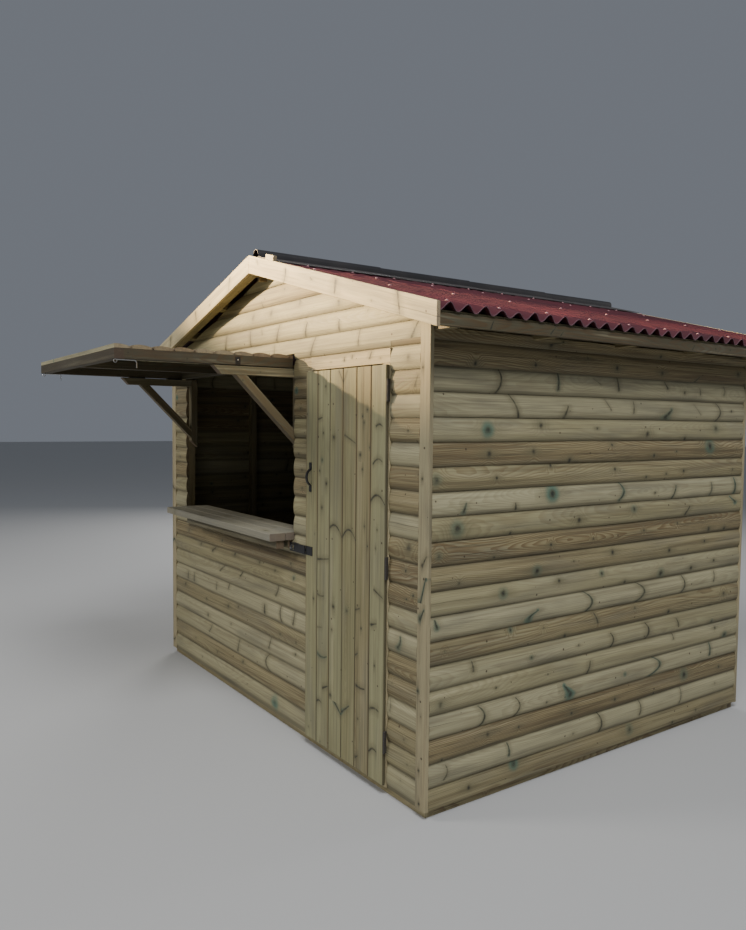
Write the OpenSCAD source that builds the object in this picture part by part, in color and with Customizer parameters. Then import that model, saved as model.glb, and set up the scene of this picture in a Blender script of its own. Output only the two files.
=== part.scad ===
// Street kiosk: a timber hut with a serving hatch, a lift-up shutter and a boarded door.
// The origin is at ground level, in the middle of the floor. +Z is up and the front faces -Y.

/* [Building] */
// Width over the corner trims
body_w = 2950; // [2700:10:3400]
// Depth over the faces of the front and back walls
body_d = 2400; // [2000:10:3200]
// Height of the lower edge of the wall boards
clad_bottom = 34; // [20:1:44]
// Width of the corner trims
trim_w = 68; // [50:1:90]
// How far the corner trims stand above the side walls
trim_rise = 25; // [5:1:30]

/* [Timbers] */
// Side of the square framing timbers
frame_t = 45; // [40:1:50]
// Thickness of the wall boards at their bellies
clad_t = 20; // [16:1:28]
// Height of a board that shows on the front, back and gables
board_cover = 104; // [90:0.1:130]
// Height of a board that shows on the side walls
side_cover = 105.8; // [90:0.1:130]
// Height of a board that shows on the shutter
flap_cover = 105; // [90:0.1:130]
// Height of the lowest overlap on the front and back
front_lap = 150; // [100:1:160]
// Height of the lowest overlap on the side walls
side_lap = 130; // [100:1:160]
// From the top of the hatch down to the shutter's highest overlap
flap_lap_drop = 34; // [20:1:80]
// How far a board's face falls back from its belly to its top edge
board_fall = 11; // [3:0.5:13]
// How far a board's face falls back from its belly to its lower edge
lip_fall = 7; // [2:0.5:10]
// Thickness of the floor boards
deck_t = 20; // [16:1:28]
// Largest distance between studs, centre to centre
stud_spacing = 600; // [400:10:700]
// Largest distance between floor joists, centre to centre
joist_spacing = 480; // [350:10:600]

/* [Roof] */
// Slope of the roof in degrees
roof_pitch = 15.3; // [12:0.1:20]
// Depth of the seat cut in the rafters at the outer face of the side walls
seat_cut = 12; // [6:1:20]
// From the front wall to the face of the front barge boards
front_overhang = 108; // [90:1:200]
// From the back wall to the face of the back barge boards
back_overhang = 580; // [100:5:700]
// From the side walls to the lower edges of the roof sheets
eaves_overhang = 150; // [100:5:250]
// Depth of the barge boards, square to the slope
barge_w = 95; // [80:1:140]
// Thickness of the barge boards and eaves boards
barge_t = 18; // [14:1:25]
// How far the barge boards run past the lower edges of the sheets
barge_past = 16; // [5:1:40]
// From the lower edges of the sheets back to the face of the eaves boards
fascia_setback = 16; // [8:1:60]
// Height of the eaves boards
fascia_h = 51; // [45:1:90]
// Gap between the sheets and the top of the eaves boards
fascia_gap = 7; // [1:1:15]
// Number of purlins on each slope
purlin_rows = 4; // [3:1:6]
// From the ridge line down the slope to the first purlin
purlin_start = 45; // [35:1:100]
// Thickness of the ridge board
ridge_t = 22; // [18:1:30]

/* [Roof sheets] */
// Distance between the sheets' crests
corrugation_pitch = 95; // [70:1:130]
// Overall height of the corrugations
corrugation_h = 38; // [25:1:50]
// Thickness of the sheets
sheet_t = 3; // [2:0.5:5]
// From the front edge of the sheets to the middle of their first crest
first_crest = 63; // [10:1:90]
// Half the width of the ridge cap
cap_half_w = 285; // [150:5:350]
// Outer radius of the roll along the ridge cap
cap_roll_r = 30; // [20:1:45]
// Thickness of the ridge cap
cap_t = 3; // [2:0.5:5]
// Number of lengths that the ridge cap is laid in
cap_lengths = 4; // [2:1:6]
// How far each length laps over the next
cap_lap = 110; // [80:5:200]
// Height of the middle of the roll above the peak of the sheets
cap_roll_rise = 8; // [0:1:15]
// From the front barge boards back to the ridge cap
cap_setback = 25; // [5:1:100]
// How far the ridge cap runs past the back barge boards
cap_past = 5; // [0:1:40]

/* [Door] */
// From the right corner to the hinge side of the doorway
door_from_corner = 336; // [300:1:420]
// Clear width of the doorway
door_open_w = 618; // [560:1:700]
// Height of the head of the doorway
door_head = 1952; // [1850:1:2100]
// Thickness of the door boards
door_t = 12; // [12:1:25]
// Number of boards in the door
door_boards_n = 6; // [4:1:9]
// Height of the bottom of the door
door_bottom = 47; // [40:1:60]
// From the top of the door to the head of the doorway
door_top_gap = 7; // [5:1:15]
// Gap between the wall's face and the back of the door boards
door_gap = 5; // [5:1:12]
// How far the door covers the hinge side of the frame
hinge_lap = 52; // [30:1:60]
// How far the door covers the latch side of the frame
latch_lap = 33; // [15:1:40]
// Width of the flat strip on the hinge side
hinge_strip_w = 55; // [53:1:80]
// Width of the flat strip on the latch side
latch_strip_w = 45; // [40:1:60]
// Height of the flat board over the doorway
head_trim_h = 66; // [45:1:72]
// How far the head board runs over the latch side's flat strip
head_lap = 9; // [0:1:30]
// Width of the ledges across the back of the door
ledge_w = 95; // [70:1:120]
// Thickness of the ledges
ledge_t = 20; // [15:1:24]
// From the top and bottom of the door to the middle of the outer ledges
ledge_inset = 130; // [100:1:300]
// Gap between the ledges and the sides of the doorway
ledge_gap = 5; // [5:1:20]
// Side of the square that cuts the V joints between the door boards
door_groove = 4; // [2:0.5:8]

/* [Door fittings] */
// Length of the door hinges
hinge_l = 100; // [75:1:125]
// Outer radius of the door hinges' knuckles
hinge_r = 4.5; // [4:0.5:8]
// Radius of the door hinges' pins
hinge_pin_r = 2; // [1.5:0.5:3]
// From the top of the door to the middle of the top hinge
hinge_top_inset = 113; // [80:1:200]
// From the bottom of the door to the middle of the bottom hinge
hinge_bottom_inset = 199; // [80:1:250]
// Width of the hinge leaves on the wall, behind the door
hinge_leaf_w = 40; // [30:1:50]
// Thickness of the hinge leaves
leaf_t = 2; // [1.5:0.5:3]
// From the door's latch edge to the middle of the handle
handle_inset = 49; // [35:1:100]
// Height of the middle of the handle
handle_z = 1407; // [1100:1:1500]
// Overall length of the handle
handle_l = 150; // [120:1:200]
// Length of each flat end of the handle
handle_foot_l = 35; // [25:1:45]
// How far the handle stands out
handle_out = 28; // [22:1:40]
// Width of the handle's grip
handle_w = 14; // [10:1:20]
// Thickness of the handle's grip
handle_bar = 7; // [5:0.5:9]
// Width of the flat ends of the handle
handle_foot_w = 22; // [16:1:30]
// Thickness of the flat ends of the handle
handle_foot_t = 3; // [2:0.5:4]
// Height of the middle of the hasp
hasp_z = 1025; // [900:1:1200]
// Height of the hasp's plates
hasp_h = 46; // [40:1:60]
// Thickness of the hasp's plates
hasp_t = 3; // [2:0.5:4]
// Outer radius of the hasp's knuckles
hasp_r = 3.5; // [3:0.5:4]
// Radius of the hasp's pin
hasp_pin_r = 1.5; // [1:0.5:2]
// From the door's latch edge in to the hasp's hinge
hasp_inset = 1; // [0:0.5:4]
// Length of the hasp's plate on the door
hasp_leaf_l = 66; // [40:1:80]
// Length of the hasp's strap from its hinge
hasp_strap_l = 156; // [130:1:165]
// From the hasp's hinge to the staple
staple_reach = 122; // [95:1:130]
// How far the staple stands out past the strap
staple_out = 18; // [16:1:25]
// Thickness of the staple's bar
staple_bar = 6; // [5:0.5:7]
// Half the height of the staple
staple_half = 12; // [10:0.5:13]
// Gap between the staple and the sides of the strap's slot
staple_gap = 5; // [3:0.5:6]
// Side of the staple's square plate
staple_plate = 40; // [30:1:50]
// Thickness of the staple's plate
staple_plate_t = 3; // [2:0.5:4]

/* [Hatch] */
// From the left corner to the side of the hatch
hatch_from_corner = 266; // [220:1:350]
// Width of the wall between the hatch and the door's flat strip
pier_w = 148; // [110:1:200]
// Height of the sill under the counter
sill_h = 1055; // [900:5:1100]
// Height of the top of the hatch above the head of the doorway
hatch_rise = 98; // [80:1:110]
// Height of the side walls above the top of the hatch
wall_rise = 35; // [25:1:200]
// Thickness of the counter
counter_t = 40; // [25:1:50]
// How far the counter stands out from the wall
counter_out = 140; // [120:5:250]
// How far the counter reaches in from the wall's face
counter_in = 150; // [100:5:300]
// From the counter's outer edge back to the face of the outer rail under it
rail_setback = 45; // [5:1:60]
// From the left end of the counter to the left ends of its rails
rail_left_inset = 250; // [0:5:400]
// From the right end of the counter to the right ends of its rails
rail_right_inset = 10; // [0:1:60]
// Thickness of the rail under the counter against the wall
inner_rail_t = 25; // [18:1:45]

/* [Shutter] */
// Depth of the shutter's frame timbers
flap_frame_t = 50; // [40:1:60]
// Gap round the closed shutter's sides and under its lower edge
flap_gap = 5; // [5:1:10]
// Gap over the closed shutter
flap_top_gap = 10; // [8:1:15]
// Height of the shutter hinge axis below the top of the hatch
flap_axis_drop = 5; // [5:0.5:6]
// How far the brackets reach out from the wall's face
bracket_reach = 455; // [350:5:600]
// How far the brackets hang down below the shutter's frame
bracket_drop = 463; // [350:1:600]
// From the tip of a bracket back to the lower edge of its brace
brace_inset = 120; // [90:1:200]
// Number of hinges on the shutter
flap_hinges_n = 3; // [2:1:4]
// Outer radius of the shutter hinges' knuckles
flap_hinge_r = 4.5; // [4:0.5:4.5]
// Radius of the shutter hinges' pins
flap_pin_r = 2; // [1.5:0.5:2]
// Length of the shutter hinges' leaves beyond the knuckles
flap_leaf_l = 35; // [25:1:60]

/* [Hidden] */
// Clearance of pieces that rest on or turn in each other
seat_gap = 0.3;
// Play between a hinge's knuckles and the leaves beside them
hinge_play = 0.5;
// Metal left between a pin's bore and the end of a leaf
pin_wall = 1;
// How far a cutting shape runs past what it cuts
overcut = 1;
// Gap between the two halves of a mitre
mitre_gap = 1;
// Gap between the sheets' edges and the barge boards
sheet_edge_gap = 2;
// Where a board's belly stands out most, as a share of the height that shows
belly_at = 0.4;
// Straight steps that draw a board's face and a corrugation
face_steps = 6;
wave_steps = 8;

half_w = body_w / 2;
half_d = body_d / 2;
// Outer and inner faces of the framing
frame_x = half_w - clad_t;
frame_y = half_d - clad_t;
inner_x = frame_x - frame_t;
inner_y = frame_y - frame_t;
floor_z = frame_t + deck_t;
plate_z = floor_z + frame_t;
trim_x = half_w - trim_w;

// Heights that follow from the doorway: the top of the hatch, and of the side walls' top plates
hatch_top = door_head + hatch_rise;
wall_h = hatch_top + wall_rise;

// Doorway and hatch
door_right = half_w - door_from_corner;
door_left = door_right - door_open_w;
door_x0 = door_left - latch_lap;
door_x1 = door_right + hinge_lap;
door_back_y = -half_d - door_gap;
door_face_y = door_back_y - door_t;
door_top = door_head - door_top_gap;
strip_left = door_left - latch_strip_w;
strip_right = door_right + hinge_strip_w;
head_trim_top = door_head + head_trim_h;
hatch_left = -half_w + hatch_from_corner;
hatch_right = strip_left - pier_w;
counter_top = sill_h + counter_t;

// Roof: heights of lines that lie a given depth below the sheets' crests
slope = tan(roof_pitch);
rafter_top_depth = corrugation_h + frame_t;
rafter_depth = rafter_top_depth + frame_t;
peak_z = wall_h - seat_cut + rafter_depth / cos(roof_pitch) + half_w * slope;
function roof_z(x, depth) = peak_z - slope * abs(x) - depth / cos(roof_pitch);
sheet_edge_x = half_w + eaves_overhang;
fascia_face_x = sheet_edge_x - fascia_setback;
fascia_back_x = fascia_face_x - barge_t;
barge_end_x = sheet_edge_x + barge_past;
seat_x = half_w - seat_cut / slope;
ridge_half = ridge_t / 2;
barge_front_y = -half_d - front_overhang;
barge_back_y = half_d + back_overhang;
verge_front_y = barge_front_y + barge_t;
verge_back_y = barge_back_y - barge_t;
purlin_y0 = verge_front_y + frame_t;
purlin_y1 = verge_back_y - frame_t;
purlin_end = (fascia_back_x - seat_gap + corrugation_h * sin(roof_pitch)) / cos(roof_pitch);

// Shutter, drawn closed and lifted about its hinge axis
flap_y = -half_d;
flap_z = hatch_top - flap_axis_drop;
flap_x0 = hatch_left + flap_gap;
flap_x1 = hatch_right - flap_gap;
flap_low = counter_top + flap_gap;
flap_high = hatch_top - flap_top_gap;
// Height of the brackets' tops: the seam under the lifted frame holds two hinge leaves
fold_seam = 2 * leaf_t + seat_gap;
bracket_z = flap_z - clad_t - flap_frame_t - fold_seam;
// Fold axes of the brackets: along the seam, beside the inner faces
fold_gap = flap_hinge_r + hinge_play;
fold_z = bracket_z + fold_seam / 2;
fold_right_x = flap_x1 - frame_t - fold_gap;
fold_left_x = flap_x0 + frame_t + fold_gap;

// Door hinge axis, and the hasp's hinge axis
hinge_x = door_x1 + leaf_t + hinge_play + hinge_r;
hinge_y = door_face_y - leaf_t + hinge_r;
hinge_mid_top = door_top - hinge_top_inset;
hinge_mid_bottom = door_bottom + hinge_bottom_inset;
hinge_heights = [hinge_mid_bottom, (hinge_mid_bottom + hinge_mid_top) / 2, hinge_mid_top];
hasp_x = door_x0 + hasp_inset;
hasp_y = door_face_y - hasp_t - hasp_r + seat_gap;
staple_x = hasp_x - staple_reach;

// A box between two opposite corners
module box_between(low, high) {
    translate(low) cube(high - low);
}

// The children, and their mirror image across the middle of the hut
module both_sides() {
    children();
    mirror([1, 0, 0]) children();
}

// A plate of a given outline in X and Z, between two depths in Y
module upright_plate(points, y0, y1) {
    translate([0, y1, 0]) rotate([90, 0, 0]) linear_extrude(y1 - y0) polygon(points);
}

// An outline in Y and Z, drawn out along X
module along_x(x0, x1) {
    translate([x0, 0, 0]) rotate([90, 0, 90]) linear_extrude(x1 - x0) children();
}

// The right slope laid out flat: X runs down the slope from the ridge, Z stands square to it
module on_right_slope() {
    translate([0, 0, peak_z]) rotate([0, roof_pitch, 0]) children();
}

// A band of the right slope between two depths, cut plumb at both ends
module slope_band(x0, x1, depth0, depth1, y0, y1) {
    upright_plate([
        [x0, roof_z(x0, depth0)], [x1, roof_z(x1, depth0)],
        [x1, roof_z(x1, depth1)], [x0, roof_z(x0, depth1)]
    ], y0, y1);
}

// Even places from first to last, no further apart than spacing
function spread(first, last, spacing) =
    let (n = ceil((last - first) / spacing))
    [for (i = [0 : n]) first + i * (last - first) / n];

// How far a board's face lies behind its belly, at a share of the height that shows
function face_fall(share) = share < belly_at
    ? lip_fall * pow((belly_at - max(0, share)) / belly_at, 2)
    : board_fall * pow((share - belly_at) / (1 - belly_at), 2);

// Rounded faces of the overlapping boards between two heights, with overlaps every cover
// from the height of lap; the lowest board is made as tall as it has to be
function board_points(z0, z1, lap, cover) = [
    for (k = [max(-1, floor((z0 - lap) / cover)) : ceil((z1 - lap) / cover) - 1])
        let (
            base = lap + k * cover,
            low = k == -1 ? z0 : max(z0, base),
            high = min(z1, base + cover)
        )
        for (i = [0 : face_steps])
            let (z = low + (high - low) * i / face_steps)
            [clad_t - face_fall((z - base) / cover), z]
];

module board_profile(z0, z1, lap, cover) {
    polygon(concat([[0, z0]], board_points(z0, z1, lap, cover), [[0, z1]]));
}

// Boards in the plane of the front wall, from x0 to x1 and z0 to z1
module front_boards(x0, x1, z0, z1, lap = front_lap, cover = board_cover) {
    translate([x1, -frame_y, 0]) rotate([90, 0, -90])
        linear_extrude(x1 - x0) board_profile(z0, z1, lap, cover);
}

module side_boards() {
    translate([frame_x, frame_y, 0]) rotate([90, 0, 0])
        linear_extrude(2 * frame_y) board_profile(clad_bottom, wall_h, side_lap, side_cover);
}

// The gable end that the boards fill, under the purlins and clear of the ridge board
module gable_outline(z0) {
    depth = rafter_top_depth + seat_gap;
    difference() {
        polygon([
            [-trim_x, z0], [trim_x, z0],
            [trim_x, roof_z(trim_x, depth)], [0, roof_z(0, depth)], [-trim_x, roof_z(trim_x, depth)]
        ]);
        translate([-ridge_half - seat_gap, roof_z(ridge_half, rafter_depth) - seat_gap])
            square([ridge_t + 2 * seat_gap, rafter_depth]);
    }
}

module gable_end(z0) {
    intersection() {
        front_boards(-trim_x, trim_x, z0, peak_z);
        translate([0, -frame_y, 0]) rotate([90, 0, 0]) linear_extrude(clad_t) gable_outline(z0);
    }
}

// Floor
module floor_rims() {
    color("tan") for (y = [-frame_y, inner_y])
        box_between([-frame_x, y, 0], [frame_x, y + frame_t, frame_t]);
}

module floor_joists() {
    outer = frame_x - frame_t / 2;
    color("tan") for (x = spread(-outer, outer, joist_spacing))
        box_between([x - frame_t / 2, -inner_y, 0], [x + frame_t / 2, inner_y, frame_t]);
}

module floor_boards() {
    color("burlywood") box_between([-frame_x, -frame_y, frame_t], [frame_x, frame_y, floor_z]);
}

// Wall framing
module side_wall_plates() {
    color("tan") both_sides() for (z = [floor_z, wall_h - frame_t])
        box_between([inner_x, -frame_y, z], [frame_x, frame_y, z + frame_t]);
}

// Top plate of an end wall, its corners cut off under the rafters
module end_top_plate(y0, y1) {
    top = hatch_top + frame_t;
    cut_x = min(inner_x, (peak_z - rafter_depth / cos(roof_pitch) - top) / slope);
    end_z = min(top, roof_z(inner_x, rafter_depth));
    upright_plate([
        [-inner_x, hatch_top], [inner_x, hatch_top], [inner_x, end_z],
        [cut_x, top], [-cut_x, top], [-inner_x, end_z]
    ], y0, y1);
}

module gable_wall_plates() {
    color("tan") {
        end_top_plate(-frame_y, -inner_y);
        end_top_plate(inner_y, frame_y);
        box_between([-inner_x, inner_y, floor_z], [inner_x, frame_y, plate_z]);
        box_between([-inner_x, -frame_y, floor_z], [door_left, -inner_y, plate_z]);
        box_between([door_right, -frame_y, floor_z], [inner_x, -inner_y, plate_z]);
        box_between([hatch_left, -frame_y, sill_h - frame_t], [hatch_right, -inner_y, sill_h]);
        box_between([door_left, -frame_y, door_head], [door_right, -inner_y, door_head + frame_t]);
    }
}

module front_stud(x, z0, z1) {
    box_between([x, -frame_y, z0], [x + frame_t, -inner_y, z1]);
}

module front_wall_studs() {
    full_height = [
        -inner_x, hatch_left - frame_t, hatch_right,
        door_left - frame_t, door_right, inner_x - frame_t
    ];
    sill_studs = spread(hatch_left, hatch_right, stud_spacing);
    color("tan") {
        for (x = full_height) front_stud(x, plate_z, hatch_top);
        for (i = [1 : len(sill_studs) - 2])
            front_stud(sill_studs[i] - frame_t / 2, plate_z, sill_h - frame_t);
        front_stud((door_left + door_right - frame_t) / 2, door_head + frame_t, hatch_top);
    }
}

side_stud_y = spread(-frame_y + frame_t / 2, frame_y - frame_t / 2, stud_spacing);
back_stud_x = spread(-frame_x + frame_t / 2, frame_x - frame_t / 2, stud_spacing);

module wall_studs() {
    color("tan") {
        both_sides() for (y = side_stud_y)
            box_between([inner_x, y - frame_t / 2, plate_z], [frame_x, y + frame_t / 2, wall_h - frame_t]);
        for (i = [1 : len(back_stud_x) - 2])
            box_between(
                [back_stud_x[i] - frame_t / 2, inner_y, plate_z],
                [back_stud_x[i] + frame_t / 2, frame_y, hatch_top]
            );
    }
}

// Posts from the end walls' top plates up to the rafters
module gable_studs() {
    foot_z = hatch_top + frame_t;
    side_x = inner_x / 2;
    half = frame_t / 2;
    color("tan") for (y = [-frame_y, inner_y]) {
        upright_plate([
            [-half, foot_z], [half, foot_z], [half, roof_z(half, rafter_depth)],
            [ridge_half, roof_z(ridge_half, rafter_depth)], [-ridge_half, roof_z(ridge_half, rafter_depth)],
            [-half, roof_z(half, rafter_depth)]
        ], y, y + frame_t);
        both_sides() upright_plate([
            [side_x - half, foot_z], [side_x + half, foot_z],
            [side_x + half, roof_z(side_x + half, rafter_depth)],
            [side_x - half, roof_z(side_x - half, rafter_depth)]
        ], y, y + frame_t);
    }
}

// Wall boards
module right_wall_cladding() {
    color("wheat") side_boards();
}

module left_wall_cladding() {
    color("wheat") mirror([1, 0, 0]) side_boards();
}

module back_wall_cladding() {
    color("wheat") mirror([0, 1, 0]) gable_end(clad_bottom);
}

module front_cladding_ends() {
    color("wheat") {
        front_boards(-trim_x, hatch_left, clad_bottom, hatch_top);
        front_boards(strip_right, trim_x, clad_bottom, hatch_top);
    }
}

module front_cladding_pier() {
    color("wheat") {
        front_boards(hatch_right, strip_left, clad_bottom, hatch_top);
        front_boards(strip_left, door_left - head_lap, door_head, hatch_top);
    }
}

module front_cladding_spans() {
    color("wheat") {
        front_boards(hatch_left, hatch_right, clad_bottom, sill_h);
        front_boards(door_left - head_lap, strip_right, head_trim_top, hatch_top);
    }
}

module front_gable_cladding() {
    color("wheat") gable_end(hatch_top);
}

module door_linings() {
    color("wheat") {
        box_between([strip_left, -half_d, clad_bottom], [door_left, -frame_y, door_head]);
        box_between([door_right, -half_d, clad_bottom], [strip_right, -frame_y, door_head]);
    }
}

module door_head_trim() {
    color("wheat")
        box_between([door_left - head_lap, -half_d, door_head], [strip_right, -frame_y, head_trim_top]);
}

module corner_trims() {
    color("wheat") both_sides() for (y = [-half_d, frame_y])
        box_between([trim_x, y, clad_bottom], [half_w, y + clad_t, wall_h + trim_rise]);
}

// Roof framing: rafters whose tails are cut level under the eaves
module rafters() {
    tail_z = roof_z(half_w, rafter_depth);
    outline = [
        [ridge_half, roof_z(ridge_half, rafter_top_depth)],
        [fascia_back_x, roof_z(fascia_back_x, rafter_top_depth)],
        [fascia_back_x, tail_z],
        [half_w, tail_z],
        [half_w, wall_h],
        [seat_x, wall_h],
        [ridge_half, roof_z(ridge_half, rafter_depth)]
    ];
    color("tan") both_sides() for (y = side_stud_y)
        upright_plate(outline, y - frame_t / 2, y + frame_t / 2);
}

module purlins_and_ridge_board() {
    step = (purlin_end - frame_t - purlin_start) / (purlin_rows - 1);
    color("tan") {
        both_sides() on_right_slope() for (i = [0 : purlin_rows - 1])
            box_between(
                [purlin_start + i * step, purlin_y0, -rafter_top_depth],
                [purlin_start + i * step + frame_t, purlin_y1, -corrugation_h]
            );
        box_between(
            [-ridge_half, purlin_y0, roof_z(ridge_half, rafter_depth)],
            [ridge_half, purlin_y1, roof_z(ridge_half, corrugation_h + seat_gap)]
        );
    }
}

module verge_rafters() {
    color("tan") both_sides() for (y = [verge_front_y, purlin_y1])
        slope_band(mitre_gap / 2, fascia_back_x, corrugation_h + seat_gap, barge_w, y, y + frame_t);
}

module barge_boards() {
    color("blanchedalmond") both_sides() for (y = [barge_front_y, verge_back_y])
        slope_band(mitre_gap / 2, barge_end_x, 0, barge_w, y, y + barge_t);
}

module eaves_fascias() {
    top = roof_z(fascia_face_x, corrugation_h) - fascia_gap;
    color("tan") both_sides() box_between(
        [fascia_back_x, verge_front_y, top - fascia_h],
        [fascia_face_x, verge_back_y, top]
    );
}

// Corrugated roof sheets: a wave of even thickness
wave_front = verge_front_y + sheet_edge_gap;
wave_back = verge_back_y - sheet_edge_gap;
wave_rise = (corrugation_h - sheet_t) / 2;

// Places across a sheet, with one on every crest
wave_y =
    let (
        crest = wave_front + first_crest,
        step = corrugation_pitch / wave_steps,
        first = floor((wave_front - crest) / step) + 1,
        last = ceil((wave_back - crest) / step) - 1
    )
    concat([wave_front], [for (i = [first : last]) crest + i * step], [wave_back]);

// Points along one face of a sheet; side is 1 for the upper face and -1 for the lower
function wave_points(side) = [
    for (y = wave_y)
        let (
            turn = 360 * (y - wave_front - first_crest) / corrugation_pitch,
            lean = -wave_rise * sin(turn) * 2 * PI / corrugation_pitch,
            reach = side * sheet_t / 2 / sqrt(1 + lean * lean),
            inside = (y == wave_front || y == wave_back) ? 0 : 1
        )
        [y - reach * lean * inside, -corrugation_h / 2 + wave_rise * cos(turn) + reach]
];

function reversed(points) = [for (i = [len(points) - 1 : -1 : 0]) points[i]];

module right_sheet() {
    start = corrugation_h * sin(roof_pitch) / cos(roof_pitch) + mitre_gap;
    end = sheet_edge_x / cos(roof_pitch);
    on_right_slope() along_x(start, end)
        polygon(concat(wave_points(1), reversed(wave_points(-1))));
}

module roof_sheet_right() {
    color("brown") right_sheet();
}

module roof_sheet_left() {
    color("brown") mirror([1, 0, 0]) right_sheet();
}

// Ridge cap: lengths with a raised roll and a flat wing down each slope, lying on the sheets' crests
cap_front_y = verge_front_y + cap_setback;
cap_back_y = barge_back_y + cap_past;
cap_step = (cap_back_y - cap_front_y - cap_lap) / cap_lengths;
cap_l = cap_step + cap_lap;
// Each length tips up at its front end, to lie on top of the length before it
cap_tip = atan((cap_t + 2 * seat_gap) / cap_step);
wing_z = roof_z(cap_half_w, -seat_gap) - peak_z;
crown_z = roof_z(0, -seat_gap) - peak_z;

module cap_wings() {
    rise = cap_t / cos(roof_pitch);
    polygon([
        [-cap_half_w, wing_z], [-cap_half_w, wing_z + rise], [0, crown_z + rise],
        [cap_half_w, wing_z + rise], [cap_half_w, wing_z], [0, crown_z]
    ]);
}

module cap_void() {
    polygon([[-cap_half_w, wing_z], [0, crown_z], [cap_half_w, wing_z], [0, wing_z - cap_roll_r]]);
}

// One length, along Y from 0, with the ridge at the height of 0
module cap_piece() {
    rotate([90, 0, 0]) mirror([0, 0, 1]) difference() {
        union() {
            linear_extrude(cap_l) cap_wings();
            translate([0, cap_roll_rise, 0]) cylinder(r = cap_roll_r, h = cap_l, $fn = 48);
        }
        translate([0, 0, -overcut]) linear_extrude(cap_l + 2 * overcut) cap_void();
        translate([0, cap_roll_rise, -overcut])
            cylinder(r = cap_roll_r - cap_t, h = cap_l + 2 * overcut, $fn = 48);
    }
}

module ridge_cap() {
    color("dimgray") for (i = [0 : cap_lengths - 1])
        translate([0, cap_front_y + i * cap_step, peak_z]) rotate([cap_tip, 0, 0]) cap_piece();
}

// Counter
module counter() {
    color("lightgray") box_between(
        [flap_x0, -half_d - counter_out, sill_h],
        [flap_x1, -half_d + counter_in, counter_top]
    );
}

module counter_rails() {
    outer_y = -half_d - counter_out + rail_setback;
    x0 = flap_x0 + rail_left_inset;
    x1 = flap_x1 - rail_right_inset;
    color("sienna") {
        box_between([x0, outer_y, sill_h - frame_t], [x1, outer_y + frame_t, sill_h]);
        box_between([x0, -half_d - inner_rail_t, sill_h - frame_t], [x1, -half_d, sill_h]);
    }
}

// Door leaf
module door_boards() {
    board_w = (door_x1 - door_x0) / door_boards_n;
    color("wheat") difference() {
        box_between([door_x0, door_face_y, door_bottom], [door_x1, door_back_y, door_top]);
        for (i = [1 : door_boards_n - 1])
            translate([door_x0 + i * board_w, door_face_y, (door_bottom + door_top) / 2])
                rotate([0, 0, 45])
                    cube([door_groove, door_groove, door_top - door_bottom + 2 * overcut], center = true);
    }
}

ledge_heights = [door_bottom + ledge_inset, (door_bottom + door_top) / 2, door_top - ledge_inset];

module door_ledges() {
    color("tan") for (z = ledge_heights)
        box_between(
            [door_left + ledge_gap, door_back_y, z - ledge_w / 2],
            [door_right - ledge_gap, door_back_y + ledge_t, z + ledge_w / 2]
        );
}

// Hinges of three knuckles on one pin: the middle one belongs to the leaf with the bore,
// and the two end ones and the pin to the other leaf
function mid_knuckle(length) = length / 6 - seat_gap;
function end_knuckles(length) =
    let (start = length / 6 + seat_gap)
    [[-length / 2, -start], [start, length / 2]];

module knuckle(r, z0, z1) {
    translate([0, 0, z0]) cylinder(r = r, h = z1 - z0, $fn = 32);
}

// Leaf of a door hinge on the door's edge
module door_hinge_leaf() {
    mid = mid_knuckle(hinge_l);
    edge = door_x1 - hinge_x;
    face = door_face_y - hinge_y;
    difference() {
        union() {
            knuckle(hinge_r, -mid, mid);
            box_between([edge, face, -hinge_l / 2], [edge + leaf_t, face + door_t, hinge_l / 2]);
            box_between([edge, -leaf_t, -mid], [-hinge_pin_r - pin_wall, leaf_t, mid]);
        }
        knuckle(hinge_pin_r + seat_gap, -hinge_l, hinge_l);
    }
}

module door_hinge_leaves() {
    color([0.1, 0.1, 0.1]) for (z = hinge_heights) translate([hinge_x, hinge_y, z]) door_hinge_leaf();
}

// Leaf of a door hinge on the wall, behind the door
module frame_hinge_leaf() {
    wall = -half_d - hinge_y;
    web = -hinge_r + hinge_play;
    behind = hinge_r + hinge_play;
    for (end = end_knuckles(hinge_l)) {
        knuckle(hinge_r, end[0], end[1]);
        box_between([web, hinge_r / 2, end[0]], [web + leaf_t, behind, end[1]]);
    }
    knuckle(hinge_pin_r, -hinge_l / 2, hinge_l / 2);
    box_between([web, behind, -hinge_l / 2], [web + leaf_t, wall, hinge_l / 2]);
    box_between([web - hinge_leaf_w, wall - leaf_t, -hinge_l / 2], [web, wall, hinge_l / 2]);
}

module hinge_frame_leaves() {
    color([0.1, 0.1, 0.1]) for (z = hinge_heights) translate([hinge_x, hinge_y, z]) frame_hinge_leaf();
}

// Pull handle: two flat ends and a bow between them
module door_handle() {
    chord = handle_l - 2 * handle_foot_l + 2 * handle_bar;
    bow_r = (chord * chord / 4 + handle_out * handle_out) / (2 * handle_out);
    color([0.1, 0.1, 0.1]) translate([door_x0 + handle_inset, door_face_y, handle_z]) {
        for (side = [-1, 1]) translate([0, -handle_foot_t / 2, side * (handle_l - handle_foot_l) / 2])
            cube([handle_foot_w, handle_foot_t, handle_foot_l], center = true);
        along_x(-handle_w / 2, handle_w / 2) intersection() {
            difference() {
                translate([bow_r - handle_out, 0]) circle(r = bow_r, $fn = 64);
                translate([bow_r - handle_out, 0]) circle(r = bow_r - handle_bar, $fn = 64);
            }
            translate([-handle_out - overcut, -handle_l / 2]) square([handle_out + overcut, handle_l]);
        }
    }
}

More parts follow.
